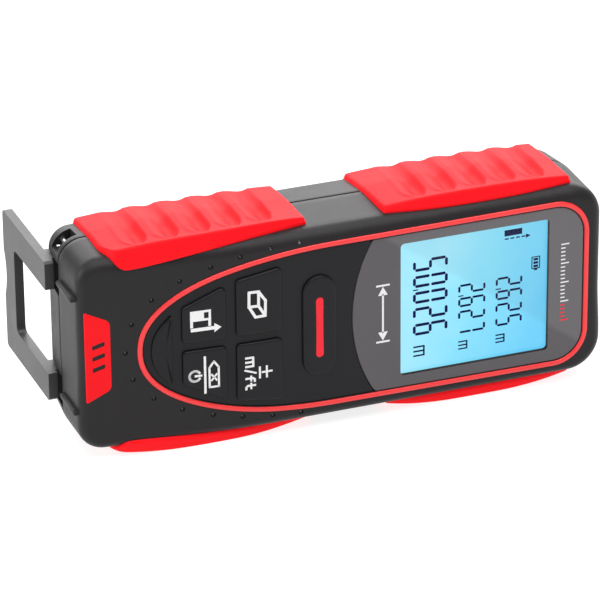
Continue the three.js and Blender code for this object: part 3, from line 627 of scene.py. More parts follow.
def pad_rows(ring, proud, bottom, edge, crown=0.0, count=8):
    """Side wall, rounded edge, then rings that close over a top that follows the face."""
    normal = ring_normals(ring)
    middle = ring.mean(0)
    rows = [at_depth(ring, face_depth(ring[:, 0]) + bottom)]
    for turn in np.linspace(0, np.pi / 2, 7):
        inner = ring - normal * edge * (1 - math.cos(turn))
        rows.append(at_depth(inner, face_depth(inner[:, 0]) - proud + edge * (1 - math.sin(turn))))
    flat = ring - normal * edge
    for share in np.linspace(0, 0.97, count)[1:]:
        inner = flat + (middle - flat) * share
        rise = crown * (1 - (1 - share) ** 2)
        rows.append(at_depth(inner, face_depth(inner[:, 0]) - proud - rise))
    return rows


silicone = surface_material("black_silicone", (0.0046, 0.0046, 0.0062, 1), 0.38,
                            (0.0060, 0.0060, 0.0078, 1),
                            grain=7000, bump=0.05, dust=0.012, scuff=0.06, gloss=0.22)
mat_ring = field_part(True, 0.12)
mat_rows = pad_rows(mat_ring, -MAT_SINK, 1.2, 0.12, count=14)
keypad_mat = ring_skin("silicone_mat", mat_rows, silicone, sharp=50)
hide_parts("keypad_mat")
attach(keypad_mat, "meter")

across = np.linspace(-1, 1, 41)
crescent = even_ring(np.stack([-38.0 - 4.4 * (1 - np.abs(across) ** 2.3), 8.0 * across - 0.7], 1), 120)
keypad_blank = ring_skin("keypad_blank", pad_rows(crescent, 0.55, 0.3, 0.4), silicone, sharp=60)
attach(keypad_blank, "meter")


# ------------------------------------------------------------------------------------
# Keys: four silicone keys in two rows and the long measuring key. Each has a rounded
# edge and a stem under it that presses a metal dome; each sinks 0.4 mm.

STEM_RADIUS, STEM_FOOT = 1.5, 7.7
KEY_OUTLINES = {
    "reference": [(-35.8, 0.5), (-26.2, 0.5), (-26.2, 12.7), (-35.8, 8.7)],
    "clear": [(-35.8, -1.3), (-26.2, -1.3), (-26.2, -13.6), (-35.8, -8.9)],
    "volume": [(-24.1, 0.5), (-13.9, 0.5), (-13.9, 15.2), (-24.1, 13.5)],
    "units": [(-24.1, -1.3), (-13.9, -1.3), (-13.9, -15.8), (-24.1, -14.5)],
}
MEASURE_X, MEASURE_HALF, MEASURE_RADIUS = -5.5, 11.6, 3.8


def with_stem(rows, ring):
    """Adds a flange under the key and a round stem that ends above the dome."""
    middle = ring.mean(0)
    spoke = ring - middle
    spoke /= np.linalg.norm(spoke, axis=1, keepdims=True)
    stem = middle + spoke * STEM_RADIUS
    foot = [at_depth(stem, STEM_FOOT), at_depth(stem, face_depth(middle[0]) + 1.4)]
    return foot + rows


for name, corners in KEY_OUTLINES.items():
    ring = even_ring(round_corners(corners, 1.0, 10), 200)
    rows = with_stem(pad_rows(ring, KEY_PROUD, 1.0, KEY_EDGE), ring)
    key = ring_skin(name + "_key_cap", rows, silicone, sharp=60)
    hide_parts("key_" + name)
    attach(key, name + "_key")

stadium = even_ring(round_corners(box_corners(
    MEASURE_X - MEASURE_RADIUS, MEASURE_X + MEASURE_RADIUS, -MEASURE_HALF, MEASURE_HALF),
    MEASURE_RADIUS - 0.01, 40), 280)
measure_rows = pad_rows(stadium, KEY_PROUD, 1.0, KEY_EDGE, crown=0.12, count=10)
measure_key = ring_skin("measure_key_cap", with_stem(measure_rows, stadium), silicone, sharp=60)
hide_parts("key_measure")
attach(measure_key, "measure_key")

mark_red = surface_material("mark_red_lacquer", (0.80, 0.006, 0.020, 1), 0.3, (0.86, 0.010, 0.028, 1),
                            bump=0.03, dust=0.01, gloss=0.3)
mark_ring = even_ring(round_corners(
    box_corners(MEASURE_X - 1.08, MEASURE_X + 0.88, -7.4, 6.8), 0.97, 20), 120)
mark_rows = pad_rows(mark_ring, KEY_PROUD + 0.15, 0.2, 0.35)
measure_mark = ring_skin("measure_mark_bar", mark_rows, mark_red, sharp=70)
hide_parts("measure_mark")
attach(measure_mark, "measure_key")


# ------------------------------------------------------------------------------------
# Key printing: white ink, screen printed on the four keys. The signs are plain ones:
# the measuring reference, a box for volume, clear over switch-off, and plus or minus.

INK_THICK, SIGN_LINE = 0.03, 0.62


def stroke(points, width):
    """A line of even width: each straight piece is a rectangle with squared ends."""
    points = np.asarray(points, float)
    shapes = []
    for start, end in zip(points[:-1], points[1:]):
        along = (end - start) / np.linalg.norm(end - start)
        across = np.array([-along[1], along[0]]) * width / 2
        reach = along * width / 2 * 0.7
        start, end = start - reach, end + reach
        shapes.append([start - across, end - across, end + across, start + across])
    return shapes


def arc_points(centre, radius, start, end, count=14):
    """Points of an arc between two angles in degrees."""
    turn = np.radians(np.linspace(start, end, count))
    return np.stack([centre[0] + radius[0] * np.cos(turn), centre[1] + radius[1] * np.sin(turn)], 1)


def printed(name, shapes, depth_of, thick, material, place=lambda p: p):
    """Flat shapes lifted off a surface by the ink's thickness, each a closed prism."""
    points, faces = [], []
    for shape in shapes:
        flat = place(np.asarray(shape, float))
        count, base = len(flat), len(points)
        surface = depth_of(flat[:, 0])
        points += np.stack([flat[:, 0], surface + 0.05, flat[:, 1]], 1).tolist()
        points += np.stack([flat[:, 0], surface - thick, flat[:, 1]], 1).tolist()
        x, z = flat[:, 0], flat[:, 1]
        turn = np.sum(x * np.roll(z, -1) - np.roll(x, -1) * z)
        order = list(range(count)) if turn > 0 else list(range(count))[::-1]
        faces.append([base + count + i for i in order])
        faces.append([base + i for i in order][::-1])
        for here, there in zip(order, order[1:] + order[:1]):
            faces.append([base + here, base + there, base + count + there, base + count + here])
    return finish_mesh(name, points, faces, material, 20)


ink_white = surface_material("white_key_ink", (0.80, 0.80, 0.80, 1), 0.5, (0.72, 0.72, 0.73, 1),
                             bump=0.05, dust=0.0, scuff=0.2)

def key_sign(name, key, middle, shapes):
    """Prints shapes drawn as (right, up) with up towards the display, on one key."""

    def place(flat):
        return np.stack([middle[0] + flat[:, 1], middle[1] - flat[:, 0]], 1)
    sign = printed(name, shapes, lambda x: face_depth(x) - KEY_PROUD, INK_THICK, ink_white, place)
    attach(sign, key)


# measuring reference: a small instrument with an arrow beside it
key_sign("reference_sign", "reference_key", (-31.0, 5.4),
         [box_corners(*sides) for sides in (
             (-2.5, -0.1, -3.1, -0.1), (-2.5, -2.0, -0.1, 1.4), (-2.0, -0.1, 0.9, 1.4),
             (-0.6, -0.1, -0.1, 0.9), (-0.1, 1.3, -3.1, -2.5), (-0.1, 1.3, 0.8, 1.4),
             (1.45, 2.25, -3.0, 2.1))] + [[(0.8, 2.1), (2.9, 2.1), (1.85, 3.6)]])
# volume: a box seen from a corner
box_front = [(-3.25, -2.3), (-3.2, -0.2), (0.1, -0.25), (0.05, -2.35), (-3.25, -2.3)]
key_sign("volume_sign", "volume_key", (-19.0, 7.2),
         stroke(box_front, SIGN_LINE)
         + stroke([(-3.2, -0.2), (-0.9, 1.3), (2.55, 1.2), (0.1, -0.25)], SIGN_LINE)
         + stroke([(2.55, 1.2), (2.6, -0.95), (0.05, -2.35)], SIGN_LINE))
# clear over switch-off: a crossed tag, a line, and a broken ring with a bar
tag = [(-1.5, 0.95), (3.0, 0.95), (3.0, 2.95), (-1.5, 2.95), (-2.9, 1.95), (-1.5, 0.95)]
key_sign("clear_off_sign", "clear_key", (-31.1, -7.2),
         stroke([(-4.2, 0.0), (4.2, 0.0)], 0.5) + stroke(tag, 0.45)
         + stroke([(0.1, 1.4), (1.5, 2.5)], 0.4) + stroke([(0.1, 2.5), (1.5, 1.4)], 0.4)
         + stroke(arc_points((0, -2.2), (1.2, 1.2), 122, 418), 0.5)
         + stroke([(0, -2.1), (0, -0.8)], 0.5))
# plus or minus over the two units, metre and foot
key_sign("units_sign", "units_key", (-19.0, -7.6),
         stroke([(-0.4, 1.4), (2.1, 1.4)], 0.45) + stroke([(0.85, 0.4), (0.85, 2.5)], 0.45)
         + stroke([(-0.4, -0.15), (2.1, -0.15)], 0.45)
         + stroke([(-2.9, -3.2), (-2.9, -1.6), (-0.9, -1.6), (-0.9, -3.2)], 0.48)
         + stroke([(-1.9, -1.6), (-1.9, -3.2)], 0.48)
         + stroke([(-0.1, -3.4), (0.8, -1.0)], 0.42)
         + stroke([(1.9, -3.2), (1.9, -1.7), (2.2, -1.3), (2.7, -1.3)], 0.48)
         + stroke([(1.4, -2.1), (2.5, -2.1)], 0.42)
         + stroke([(3.6, -1.2), (3.6, -2.8), (3.9, -3.2), (4.4, -3.2)], 0.48)
         + stroke([(3.1, -2.1), (4.3, -2.1)], 0.42))


# ------------------------------------------------------------------------------------
# Display cover: clear acrylic, back-printed in grey all round a square window, glued
# into the field, with a painted reflection across it. The display behind it is a pale blue, edge-lit liquid
# crystal panel.

LCD_X, LCD_LONG, LCD_WIDE = 30.2, 34.3, 30.97
PANEL_HALF_LONG, PANEL_HALF_WIDE, PANEL_BACK = 18.3, 16.8, 3.9
COVER_PROUD, COVER_BACK, PANEL_FRONT, WINDOW_CORNER = 0.05, 0.9, 1.0, 0.9
# The lighter grey and the slanting line through the window's corner paint a reflection onto the cover: a
# painted highlight wedge, not print.
MASK_GREY, PAINTED_REFLECTION_GREY = (0.092, 0.086, 0.092, 1), (0.128, 0.122, 0.130, 1)
PAINTED_REFLECTION_SLOPE, PAINTED_REFLECTION_START = (0.58, 0.81), (13.0, 15.0)


def window_mask(tree):
    """1 outside the display's window and 0 inside: the distance to a rectangle, rounded."""
    place = add_node(tree, "ShaderNodeTexCoord")
    split = add_node(tree, "ShaderNodeSeparateXYZ")
    wire(tree, place.outputs["Object"], split.inputs[0])
    beyond = add_node(tree, "ShaderNodeCombineXYZ")
    for axis, centre, half in (("X", LCD_X, LCD_LONG / 2), ("Z", 0.0, LCD_WIDE / 2)):
        away = scale_value(tree, split.outputs[axis], 1.0, -(centre + MIDDLE["XYZ".index(axis)]) * MM)
        size = add_node(tree, "ShaderNodeMath", operation="ABSOLUTE")
        wire(tree, away, size.inputs[0])
        over = scale_value(tree, size.outputs[0], 1.0, -(half - WINDOW_CORNER) * MM)
        wire(tree, over, beyond.inputs[axis])
    outside = add_node(tree, "ShaderNodeVectorMath", operation="MAXIMUM")
    wire(tree, beyond.outputs[0], outside.inputs[0])
    length = add_node(tree, "ShaderNodeVectorMath", operation="LENGTH")
    wire(tree, outside.outputs[0], length.inputs[0])
    step = add_node(tree, "ShaderNodeMapRange", clamp=True)
    step.inputs["From Min"].default_value = (WINDOW_CORNER - 0.04) * MM
    step.inputs["From Max"].default_value = (WINDOW_CORNER + 0.04) * MM
    wire(tree, length.outputs["Value"], step.inputs["Value"])
    return step.outputs[0], split


def painted_reflection_wedge(tree, split):
    """1 above a slanting line through the window's corner by the keypad, 0 below it: where the painted
    reflection lies.
    """
    along = scale_value(tree, split.outputs["X"], PAINTED_REFLECTION_SLOPE[0])
    both = add_node(tree, "ShaderNodeMath", operation="MULTIPLY_ADD")
    wire(tree, split.outputs["Z"], both.inputs[0])
    both.inputs[1].default_value = PAINTED_REFLECTION_SLOPE[1]
    wire(tree, along, both.inputs[2])
    corner = (PAINTED_REFLECTION_SLOPE[0] * (PAINTED_REFLECTION_START[0] + MIDDLE[0])
              + PAINTED_REFLECTION_SLOPE[1] * (PAINTED_REFLECTION_START[1] + MIDDLE[2])) * MM
    step = add_node(tree, "ShaderNodeMapRange", clamp=True)
    step.inputs["From Min"].default_value = corner - 0.6 * MM
    step.inputs["From Max"].default_value = corner + 0.6 * MM
    wire(tree, both.outputs[0], step.inputs["Value"])
    return step.outputs[0]


def cover_material():
    """Grey print behind gloss, opaque but for the window, which stays almost clear. A painted reflection
    lightens the print and greys the window in a slanting wedge.
    """
    material = surface_material("printed_acrylic_and_painted_reflection", MASK_GREY, 0.10, (0.104, 0.097, 0.104, 1),
                                grain=3000, bump=0.004, dust=0.02, scuff=0.08, gloss=0.2, vary=0.02)
    tree = material.node_tree
    shader = tree.nodes["Principled BSDF"]
    mask, split = window_mask(tree)
    # Painted reflection: inside the wedge the grey print turns lighter and the window a little less clear.
    reflection_wedge = painted_reflection_wedge(tree, split)
    thin = scale_value(tree, reflection_wedge, 0.05, 0.015)
    alpha = add_node(tree, "ShaderNodeMath", operation="MAXIMUM")
    wire(tree, mask, alpha.inputs[0])
    wire(tree, thin, alpha.inputs[1])
    wire(tree, alpha.outputs[0], shader.inputs["Alpha"])
    painted_reflection_mix = add_node(tree, "ShaderNodeMix", data_type="RGBA")
    painted_reflection_mix.inputs["B"].default_value = PAINTED_REFLECTION_GREY
    wire(tree, reflection_wedge, painted_reflection_mix.inputs["Factor"])
    wire(tree, shader.inputs["Base Color"].links[0].from_socket, painted_reflection_mix.inputs["A"])
    wire(tree, painted_reflection_mix.outputs["Result"], shader.inputs["Base Color"])
    return material


acrylic = cover_material()
cover_ring = field_part(False, 0.0)
lens_rows = pad_rows(cover_ring, COVER_PROUD, COVER_BACK, 0.2, count=3)
display_lens = ring_skin("display_cover", lens_rows, acrylic, sharp=50)
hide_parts("display_lens")
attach(display_lens, "meter")


def lit_panel_material():
    """Backlight through blue glass: brightest near the keypad, bluer at the far corner."""
    material = bpy.data.materials.new("lit_crystal")
    material.use_nodes = True
    tree = material.node_tree
    shader = tree.nodes["Principled BSDF"]
    place = add_node(tree, "ShaderNodeTexCoord")
    mapping = add_node(tree, "ShaderNodeMapping")
    mapping.inputs["Location"].default_value = (
        -(LCD_X - LCD_LONG / 2 + MIDDLE[0]) * MM * 29, 0, -(MIDDLE[2] - LCD_WIDE / 2) * MM * 32)
    mapping.inputs["Scale"].default_value = (29, 0, 32)
    wire(tree, place.outputs["Object"], mapping.inputs["Vector"])
    split = add_node(tree, "ShaderNodeSeparateXYZ")
    wire(tree, mapping.outputs[0], split.inputs[0])
    blend = add_node(tree, "ShaderNodeMath", operation="MULTIPLY_ADD", use_clamp=True)
    wire(tree, split.outputs["Z"], blend.inputs[0])
    blend.inputs[1].default_value = -0.35
    wire(tree, split.outputs["X"], blend.inputs[2])
    noise = add_node(tree, "ShaderNodeTexNoise", Scale=160.0, Detail=1.0)
    wire(tree, place.outputs["Object"], noise.inputs["Vector"])
    drift = add_node(tree, "ShaderNodeMath", operation="MULTIPLY_ADD", use_clamp=True)
    wire(tree, noise.outputs["Fac"], drift.inputs[0])
    drift.inputs[1].default_value = 0.25
    wire(tree, blend.outputs[0], drift.inputs[2])
    ramp = add_node(tree, "ShaderNodeValToRGB")
    ramp.color_ramp.elements[0].color = (0.38, 0.82, 0.97, 1)
    ramp.color_ramp.elements[1].color = (0.12, 0.60, 0.92, 1)
    ramp.color_ramp.elements[1].position = 1.0
    middle = ramp.color_ramp.elements.new(0.45)
    middle.color = (0.22, 0.73, 0.95, 1)
    wire(tree, drift.outputs[0], ramp.inputs["Fac"])
    wire(tree, ramp.outputs["Color"], shader.inputs["Emission Color"])
    shader.inputs["Base Color"].default_value = (0.02, 0.04, 0.05, 1)
    shader.inputs["Emission Strength"].default_value = 0.98
    shader.inputs["Roughness"].default_value = 0.3
    return material


panel_ring = even_ring(round_corners(box_corners(
    LCD_X - PANEL_HALF_LONG, LCD_X + PANEL_HALF_LONG, -PANEL_HALF_WIDE, PANEL_HALF_WIDE), 0.8), 80)
panel_rows = [at_depth(panel_ring, PANEL_BACK), at_depth(panel_ring, PANEL_FRONT)]
display_panel = ring_skin("crystal_panel", panel_rows, lit_panel_material(), sharp=30)
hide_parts("display_panel")
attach(display_panel, "meter")

SEGMENTS = {
    "0": "abcdef", "1": "bc", "2": "abged", "3": "abgcd", "4": "fgbc",
    "5": "afgcd", "6": "afgedc", "7": "abc", "8": "abcdefg", "9": "gfabcd",
}


def digit_shapes(sign, left, low, wide, high, thick):
    """Seven-segment figure: each lit segment is a bar with mitred ends."""
    half = thick / 2
    y0, y1, y2 = low + half, low + high / 2, low + high - half
    x0, x1 = left + half, left + wide - half
    bars = {
        "a": ((x0, y2), (x1, y2)), "b": ((x1, y2), (x1, y1)), "c": ((x1, y1), (x1, y0)),
        "d": ((x0, y0), (x1, y0)), "e": ((x0, y1), (x0, y0)), "f": ((x0, y2), (x0, y1)),
        "g": ((x0, y1), (x1, y1)),
    }
    shapes = []
    for letter in SEGMENTS[sign]:
        start, end = (np.array(p, float) for p in bars[letter])
        along = (end - start) / np.linalg.norm(end - start)
        across = np.array([-along[1], along[0]]) * half
        start, end, mitre = start + along * 0.12, end - along * 0.12, along * half * 0.8
        shapes.append(np.array([start, start + mitre + across, end - mitre + across,
                                end, end - mitre - across, start + mitre - across]))
    return shapes


def reading(figures_text, left, low, wide, high, thick, pitch):
    """A row of figures from left to right; a point is a narrow tick between two of them."""
    shapes, at = [], left
    for sign in figures_text:
        if sign == ".":
            tick = at - (pitch - wide) / 2
            shapes.append(box_corners(tick - 0.13, tick + 0.13, low, low + 1.2))
        else:
            shapes += digit_shapes(sign, at, low, wide, high, thick)
            at += pitch
    return shapes


def unit_metre(left, low, size, width):
    """A small letter m for metres."""
    top, right = low + size * 1.1, left + size
    return (stroke([(left, low), (left, top), (right, top), (right, low)], width)
            + stroke([(left + size / 2, low), (left + size / 2, top)], width))


crystal_ink = surface_material("dark_crystal", (0.002, 0.004, 0.055, 1), 0.5, (0.003, 0.006, 0.07, 1),
                               bump=0.0, dust=0.0, scuff=0.0, gloss=0.05)
# a large reading and two small ones, each with its unit; (right, up) from the middle
figures = (
    reading("50.026", -11.1, -14.25, 2.75, 8.0, 0.66, 3.76) + unit_metre(9.4, -14.0, 2.1, 0.38)
    + reading("2.627", -3.5, -3.8, 2.2, 6.3, 0.5, 3.1) + unit_metre(10.0, -3.6, 1.7, 0.32)
    + reading("2.625", -3.6, 4.9, 2.2, 6.2, 0.5, 3.1) + unit_metre(10.0, 5.1, 1.7, 0.32)
)
# battery level: an outlined cell with three bars and its nub
figures += stroke([(-7.1, 13.3), (-4.4, 13.3), (-4.4, 15.1), (-7.1, 15.1), (-7.1, 13.3)], 0.22)
figures += [box_corners(x, x + 0.55, 13.65, 14.75) for x in (-6.8, -6.0, -5.2)]
figures += [box_corners(-4.3, -3.95, 13.8, 14.6)]
# measuring reference: the meter as a thick bar, beside a dashed line that ends in an arrow
figures += [box_corners(-14.5, -13.1, 6.8, 10.9)]
figures += [box_corners(-12.6, -12.3, low, low + 0.9) for low in (6.9, 8.2, 9.5, 10.8)]
figures += [[(-12.95, 11.8), (-11.95, 11.8), (-12.45, 12.9)]]


def place_on_display(flat):
    """Display (right, up) to (x, z): the display's up is towards the laser end."""
    return np.stack([LCD_X + flat[:, 1], -flat[:, 0]], 1)


# The cover is printed in front with a plain distance sign and a scale of marks, the last red.
distance_sign = stroke([(-4.4, -21.2), (4.4, -21.2)], 0.42)
for side in (1, -1):
    distance_sign += stroke([(side * 6.6, -22.6), (side * 6.6, -19.8)], 0.42)
    distance_sign += [[(side * 6.3, -21.2), (side * 4.3, -20.1), (side * 4.3, -22.3)][::side]]
scale_marks = [box_corners(at - 0.14, at + 0.14, 20.0, 21.0 + 0.9 * (step % 5 == 0))
               for step, at in enumerate(np.linspace(-9, 9, 21))]
for name, shapes, ink in (("cover_sign_white", distance_sign + scale_marks[:16], ink_white),
                          ("cover_sign_red", scale_marks[16:], mark_red)):
    sign = printed(name, shapes, lambda x: np.full(len(x), -COVER_PROUD), 0.02, ink, place_on_display)
    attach(sign, "meter")

figures = [np.asarray(shape) + (0.45, 0.35) for shape in figures]
display_figures = printed("display_figures", figures, lambda x: np.full(len(x), PANEL_FRONT), INK_THICK,
                          crystal_ink, place_on_display)
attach(display_figures, "meter")


# ------------------------------------------------------------------------------------
# Badge: a red rubber plate set into the face beside the hook end. It carries no mark but
# three plain slanting bars, sunk into it by the mould.

BADGE_DEPTH, BADGE_BARS = 2.98, (-2.6, 0, 2.6)
badge_rubber = surface_material("badge_red_rubber", (0.80, 0.005, 0.010, 1), 0.5, (0.86, 0.008, 0.014, 1),
                                grain=6000, bump=0.06, dust=0.01, gloss=0.1)
badge_ring = even_ring(round_corners(
    [(-56.5, -10.6), (-51.0, -7.9), (-51.0, 7.9), (-56.5, 10.6)], (0.25, 1.7, 1.7, 0.25), 10), 160)
badge = ring_skin("badge_plate", pad_rows(badge_ring, 0.1, 0.7, 0.22, count=8), badge_rubber, sharp=60)
boolean_cut(badge, [prism(even_ring(round_corners(
    [(-55.0, z - 0.9), (-52.3, z - 0.1), (-52.3, z + 0.9), (-55.0, z + 0.1)], 0.15, 6), 48),
    2.0, BADGE_DEPTH) for z in BADGE_BARS])
badge.data.set_sharp_from_angle(angle=math.radians(60))
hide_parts("badge")
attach(badge, "meter")


# ------------------------------------------------------------------------------------
# Grips: four red rubber pads bonded over the housing's long edges. Each has a band that
# faces the front, a side that bulges along its length, and five slanting finger scoops.

GRIP_ENDS = {"hook": (-51.5, -6.3), "laser": (9.6, 53.9)}
SCOOPS = {"hook": (-43.3, 7.0, 0.04), "laser": (19.5, 6.87, 0.06)}
SCOOP_HALF, SCOOP_DEPTH, SCOOP_START, SCOOP_FULL = 2.75, 1.6, 0.9, 5.2
GRIP_REAR = 24.9
SUNK = 0.45


def shell_point(s, face, off, edge, draft):
    """The housing's skin across the meter, lifted by off: its face, a quarter circle, its side.

    s is the way along the skin from where the face starts to round over.
    """
    start = HALF_WIDTH - edge - draft * 0.85
    turn = np.clip(s / edge, 0, np.pi / 2)
    past = np.maximum(0, s - edge * np.pi / 2)
    y = face + edge * (1 - np.cos(turn)) + past - np.cos(turn) * off
    z = start + edge * np.sin(turn) + np.minimum(s, 0) + np.sin(turn) * off
    return y, z


def corner_path(corners, v):
    """The place at each share v of the way along a chain of corners, for every station."""
    corners = np.stack(corners, 0)
    step = np.linalg.norm(np.diff(corners, axis=0), axis=-1).mean(1)
    length = np.concatenate([[0], np.cumsum(step)]) / step.sum()
    place = np.clip(np.searchsorted(length, v, side="right") - 1, 0, len(step) - 1)
    share = (v - length[place]) / (length[place + 1] - length[place])
    return corners[place] * (1 - share)[:, None, None] + corners[place + 1] * share[:, None, None]


def grip_rows(end, lower, count_x=190, count_v=120):
    """The pad's skin: at each station a chain of straight lines, rounded by a running mean.

    The scoops are taken off it, each a skewed sine across, deepest towards the laser end.
    At both ends the skin runs down into the housing along a quarter ellipse.
    """
    x0, x1 = GRIP_ENDS[end]
    u = np.linspace(0, 1, count_x)
    x = x0 + (x1 - x0) * (u - 0.012 * np.sin(2 * np.pi * u))
    u = (x - x0) / (x1 - x0)
    face = face_depth(x)
    if end == "hook":
        rim = 0.5 + 7.0 * np.clip(1 - (x - x0) / 4.5, 0, 1) ** 2.4
        rim += 5.6 * np.clip((u - 0.12) / 0.88, 0, 1) ** 1.25
    else:
        rim = 3.5 + 1.5 * np.abs(2 * u - 1) ** 2.5
    edge, draft, lift = (LOW_EDGE_ROUND, 0.0, 0.3) if lower else (EDGE_ROUND, FRONT_DRAFT, 0.0)
    rim = rim * edge / EDGE_ROUND + lift
    middle = 1 - np.abs(2 * u - 1) ** 2.6
    crest_y = np.maximum(2.1, shell_point(rim, face, 0, edge, draft)[0] + 0.6)
    rear_z = HALF_WIDTH - float(draft_at(23.4)) - 0.5
    pad = corner_path([
        np.stack(shell_point(rim, face, -SUNK, edge, draft), 1),
        np.stack(shell_point(rim, face, 0.6, edge, draft), 1),
        np.stack([crest_y, HALF_WIDTH + 1.0 + (1.4 + lift) * middle], 1),
        np.stack([np.full(count_x, SEAM), HALF_WIDTH + 0.85 + 1.2 * middle], 1),
        np.stack([np.full(count_x, GRIP_REAR), 22.1 + 0.7 * middle], 1),
        np.stack([np.full(count_x, GRIP_REAR + 0.2), np.full(count_x, rear_z - 0.6)], 1),
    ], np.linspace(0, 1, count_v))
    for _ in range(2):
        pad[1:-1] = (pad[:-2] + pad[1:-1] + pad[2:]) / 3
    y = pad[..., 0]
    first, pitch, lean = SCOOPS[end]
    for step in range(5):
        near = np.sqrt(1 - np.clip((crest_y + SCOOP_FULL - y) / (SCOOP_FULL - SCOOP_START), 0, 1) ** 2)
        off = (x - (first + pitch * step) - lean * (y - SEAM)) / (SCOOP_HALF * np.maximum(near, 0.05))
        inside = np.sin(np.pi * ((np.clip(off, -1, 1) + 1) / 2) ** 1.6) ** 1.2
        fade = 1 - 0.72 * np.clip((y - 12.0) / (GRIP_REAR - 12.0), 0, 1)
        lip = 0.2 * np.exp(-((off + 1.1) / 0.22) ** 2) * near * fade
        pad[..., 1] += np.where(y > crest_y + SCOOP_START, lip - SCOOP_DEPTH * inside * near * fade, 0)
    housing = corner_path([
        np.stack(shell_point(rim, face, -SUNK, edge, draft), 1),
        np.stack(shell_point(rim + 0.2, face, -SUNK, edge, draft), 1),
        np.stack(shell_point(np.maximum(rim + 0.4, 0.75 * edge), face, -SUNK, edge, draft), 1),
        np.stack([np.full(count_x, SEAM), np.full(count_x, HALF_WIDTH - SUNK)], 1),
        np.stack([np.full(count_x, GRIP_REAR), np.full(count_x, rear_z)], 1),
        np.stack([np.full(count_x, GRIP_REAR + 0.2), np.full(count_x, rear_z - 0.6)], 1),
    ], np.linspace(0, 1, count_v))
    ends = np.clip(np.minimum(x - x0, x1 - x) / 0.9, 0, 1)
    full = np.sqrt(1 - (1 - ends) ** 2)[:, None]
    skin = housing * (1 - full) + pad * full
    slant = 0.9 * np.clip(1 - u * 5, 0, 1) * np.linspace(1, 0, count_v)[:, None] if end == "laser" else 0
    return np.concatenate([(np.broadcast_to(x, skin.shape[:2]) + slant)[..., None], skin], -1)


def grid_with_back(name, grid, material, mirror):
    """Closes an open patch with a copy sunk deep into the housing, and strips round the rim."""
    back = grid.copy()
    back[..., 2] = 19.6
    back[..., 1] = np.clip(grid[..., 1], 4.2, GRIP_REAR - 3.0)
    rows, columns = grid.shape[:2]
    points = np.vstack([grid.reshape(-1, 3), back.reshape(-1, 3)])
    if mirror:
        points[:, 2] *= -1
    number = np.arange(rows * columns).reshape(rows, columns)
    patch = np.stack([number[:-1, :-1], number[1:, :-1], number[1:, 1:], number[:-1, 1:]], -1)
    patch = patch.reshape(-1, 4)
    behind = patch[:, ::-1] + rows * columns
    rim = np.concatenate([number[0, :-1], number[:-1, -1], number[-1, :0:-1], number[:0:-1, 0]])
    following = np.roll(rim, -1)
    strip = np.stack([rim, following, following + rows * columns, rim + rows * columns], -1)
    faces = patch.tolist() + behind.tolist() + strip.tolist()
    return finish_mesh(name, points, faces, material, 60)


grip_rubber = surface_material("grip_red_rubber", (0.90, 0.0035, 0.009, 1), 0.55, (0.97, 0.006, 0.012, 1),
                               grain=5200, bump=0.10, dust=0.01, scuff=0.04, gloss=0.1)
for end in GRIP_ENDS:
    for level, mirror in (("upper", False), ("lower", True)):
        grid = grip_rows(end, mirror).transpose(1, 0, 2)
        grip = grid_with_back(f"grip_{end}_{level}_pad", grid, grip_rubber, mirror)
        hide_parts(f"grip_{end}_{level}")
        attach(grip, "meter")


# ------------------------------------------------------------------------------------
# End bracket: a flat frame of black glass-filled nylon. Two knuckles hinge it on a
# steel pin; it folds flush into the back, stands square, or reaches straight out.

BRACKET_FACE, BRACKET_THICK = -60.0, 2.0
BRACKET_FOOT, BRACKET_TIP, BRACKET_BAR = 18.0, 47.5, 7.5
KNUCKLE_RADIUS, PIN_BORE = 2.5, 1.3


def side_plate(corners, radii, x0, x1):
    """A plate on an outline in (y, z), between two places along the meter."""
    ring = even_ring(round_corners(corners, radii, 8), 160)
    rows = [np.stack([np.full(160, x), ring[:, 0], ring[:, 1]], 1) for x in (x0, x1)]
    return ring_skin("plate", rows, charcoal, sharp=30)


def bar_across(x, y, radius, z0, z1, count=48):
    """A round bar across the meter, closed at both ends."""
    turn = np.linspace(0, 2 * np.pi, count, endpoint=False)
    rows = [np.stack([x + radius * np.cos(turn), y + radius * np.sin(turn), np.full(count, z)], 1)
            for z in (z0, z1)]
    return ring_skin("bar", rows, charcoal, sharp=30)


def soften_edges(piece, width, segments=3, angle=35.0):
    """Rounds a piece's sharp edges by a bevel, and keeps its flats flat."""
    piece.data.shade_smooth()
    bevel = piece.modifiers.new("edge_round", "BEVEL")
    bevel.width = width * MM
    bevel.segments = segments
    bevel.limit_method = "ANGLE"
    bevel.angle_limit = math.radians(angle)
    bevel.harden_normals = True
    bevel.miter_outer = "MITER_ARC"


nylon = surface_material("black_nylon", (0.030, 0.029, 0.030, 1), 0.45, (0.038, 0.037, 0.038, 1),
                         grain=4200, bump=0.14, dust=0.03)
end_bracket = side_plate(
    box_corners(BRACKET_FOOT, BRACKET_TIP, -ARM_OUTER, ARM_OUTER), (0.5, 0.9, 0.9, 0.5),
    BRACKET_FACE, BRACKET_FACE + BRACKET_THICK)
end_bracket.data.materials[0] = nylon
boolean_cut(end_bracket, [
    side_plate([(BRACKET_FOOT - 2, -ARM_INNER), (BRACKET_TIP - BRACKET_BAR, -ARM_INNER),
                (BRACKET_TIP - BRACKET_BAR, ARM_INNER), (BRACKET_FOOT - 2, ARM_INNER)],
               (0.3, 1.4, 1.4, 0.3), BRACKET_FACE - 1, BRACKET_FACE + 3),
    side_plate(arc_points((BRACKET_TIP + 9.6, 1.5), (11.0, 11.0), 100, 260, 24)[::-1].tolist(),
               0.05, BRACKET_FACE - 1, BRACKET_FACE + 3)])
knuckles = []
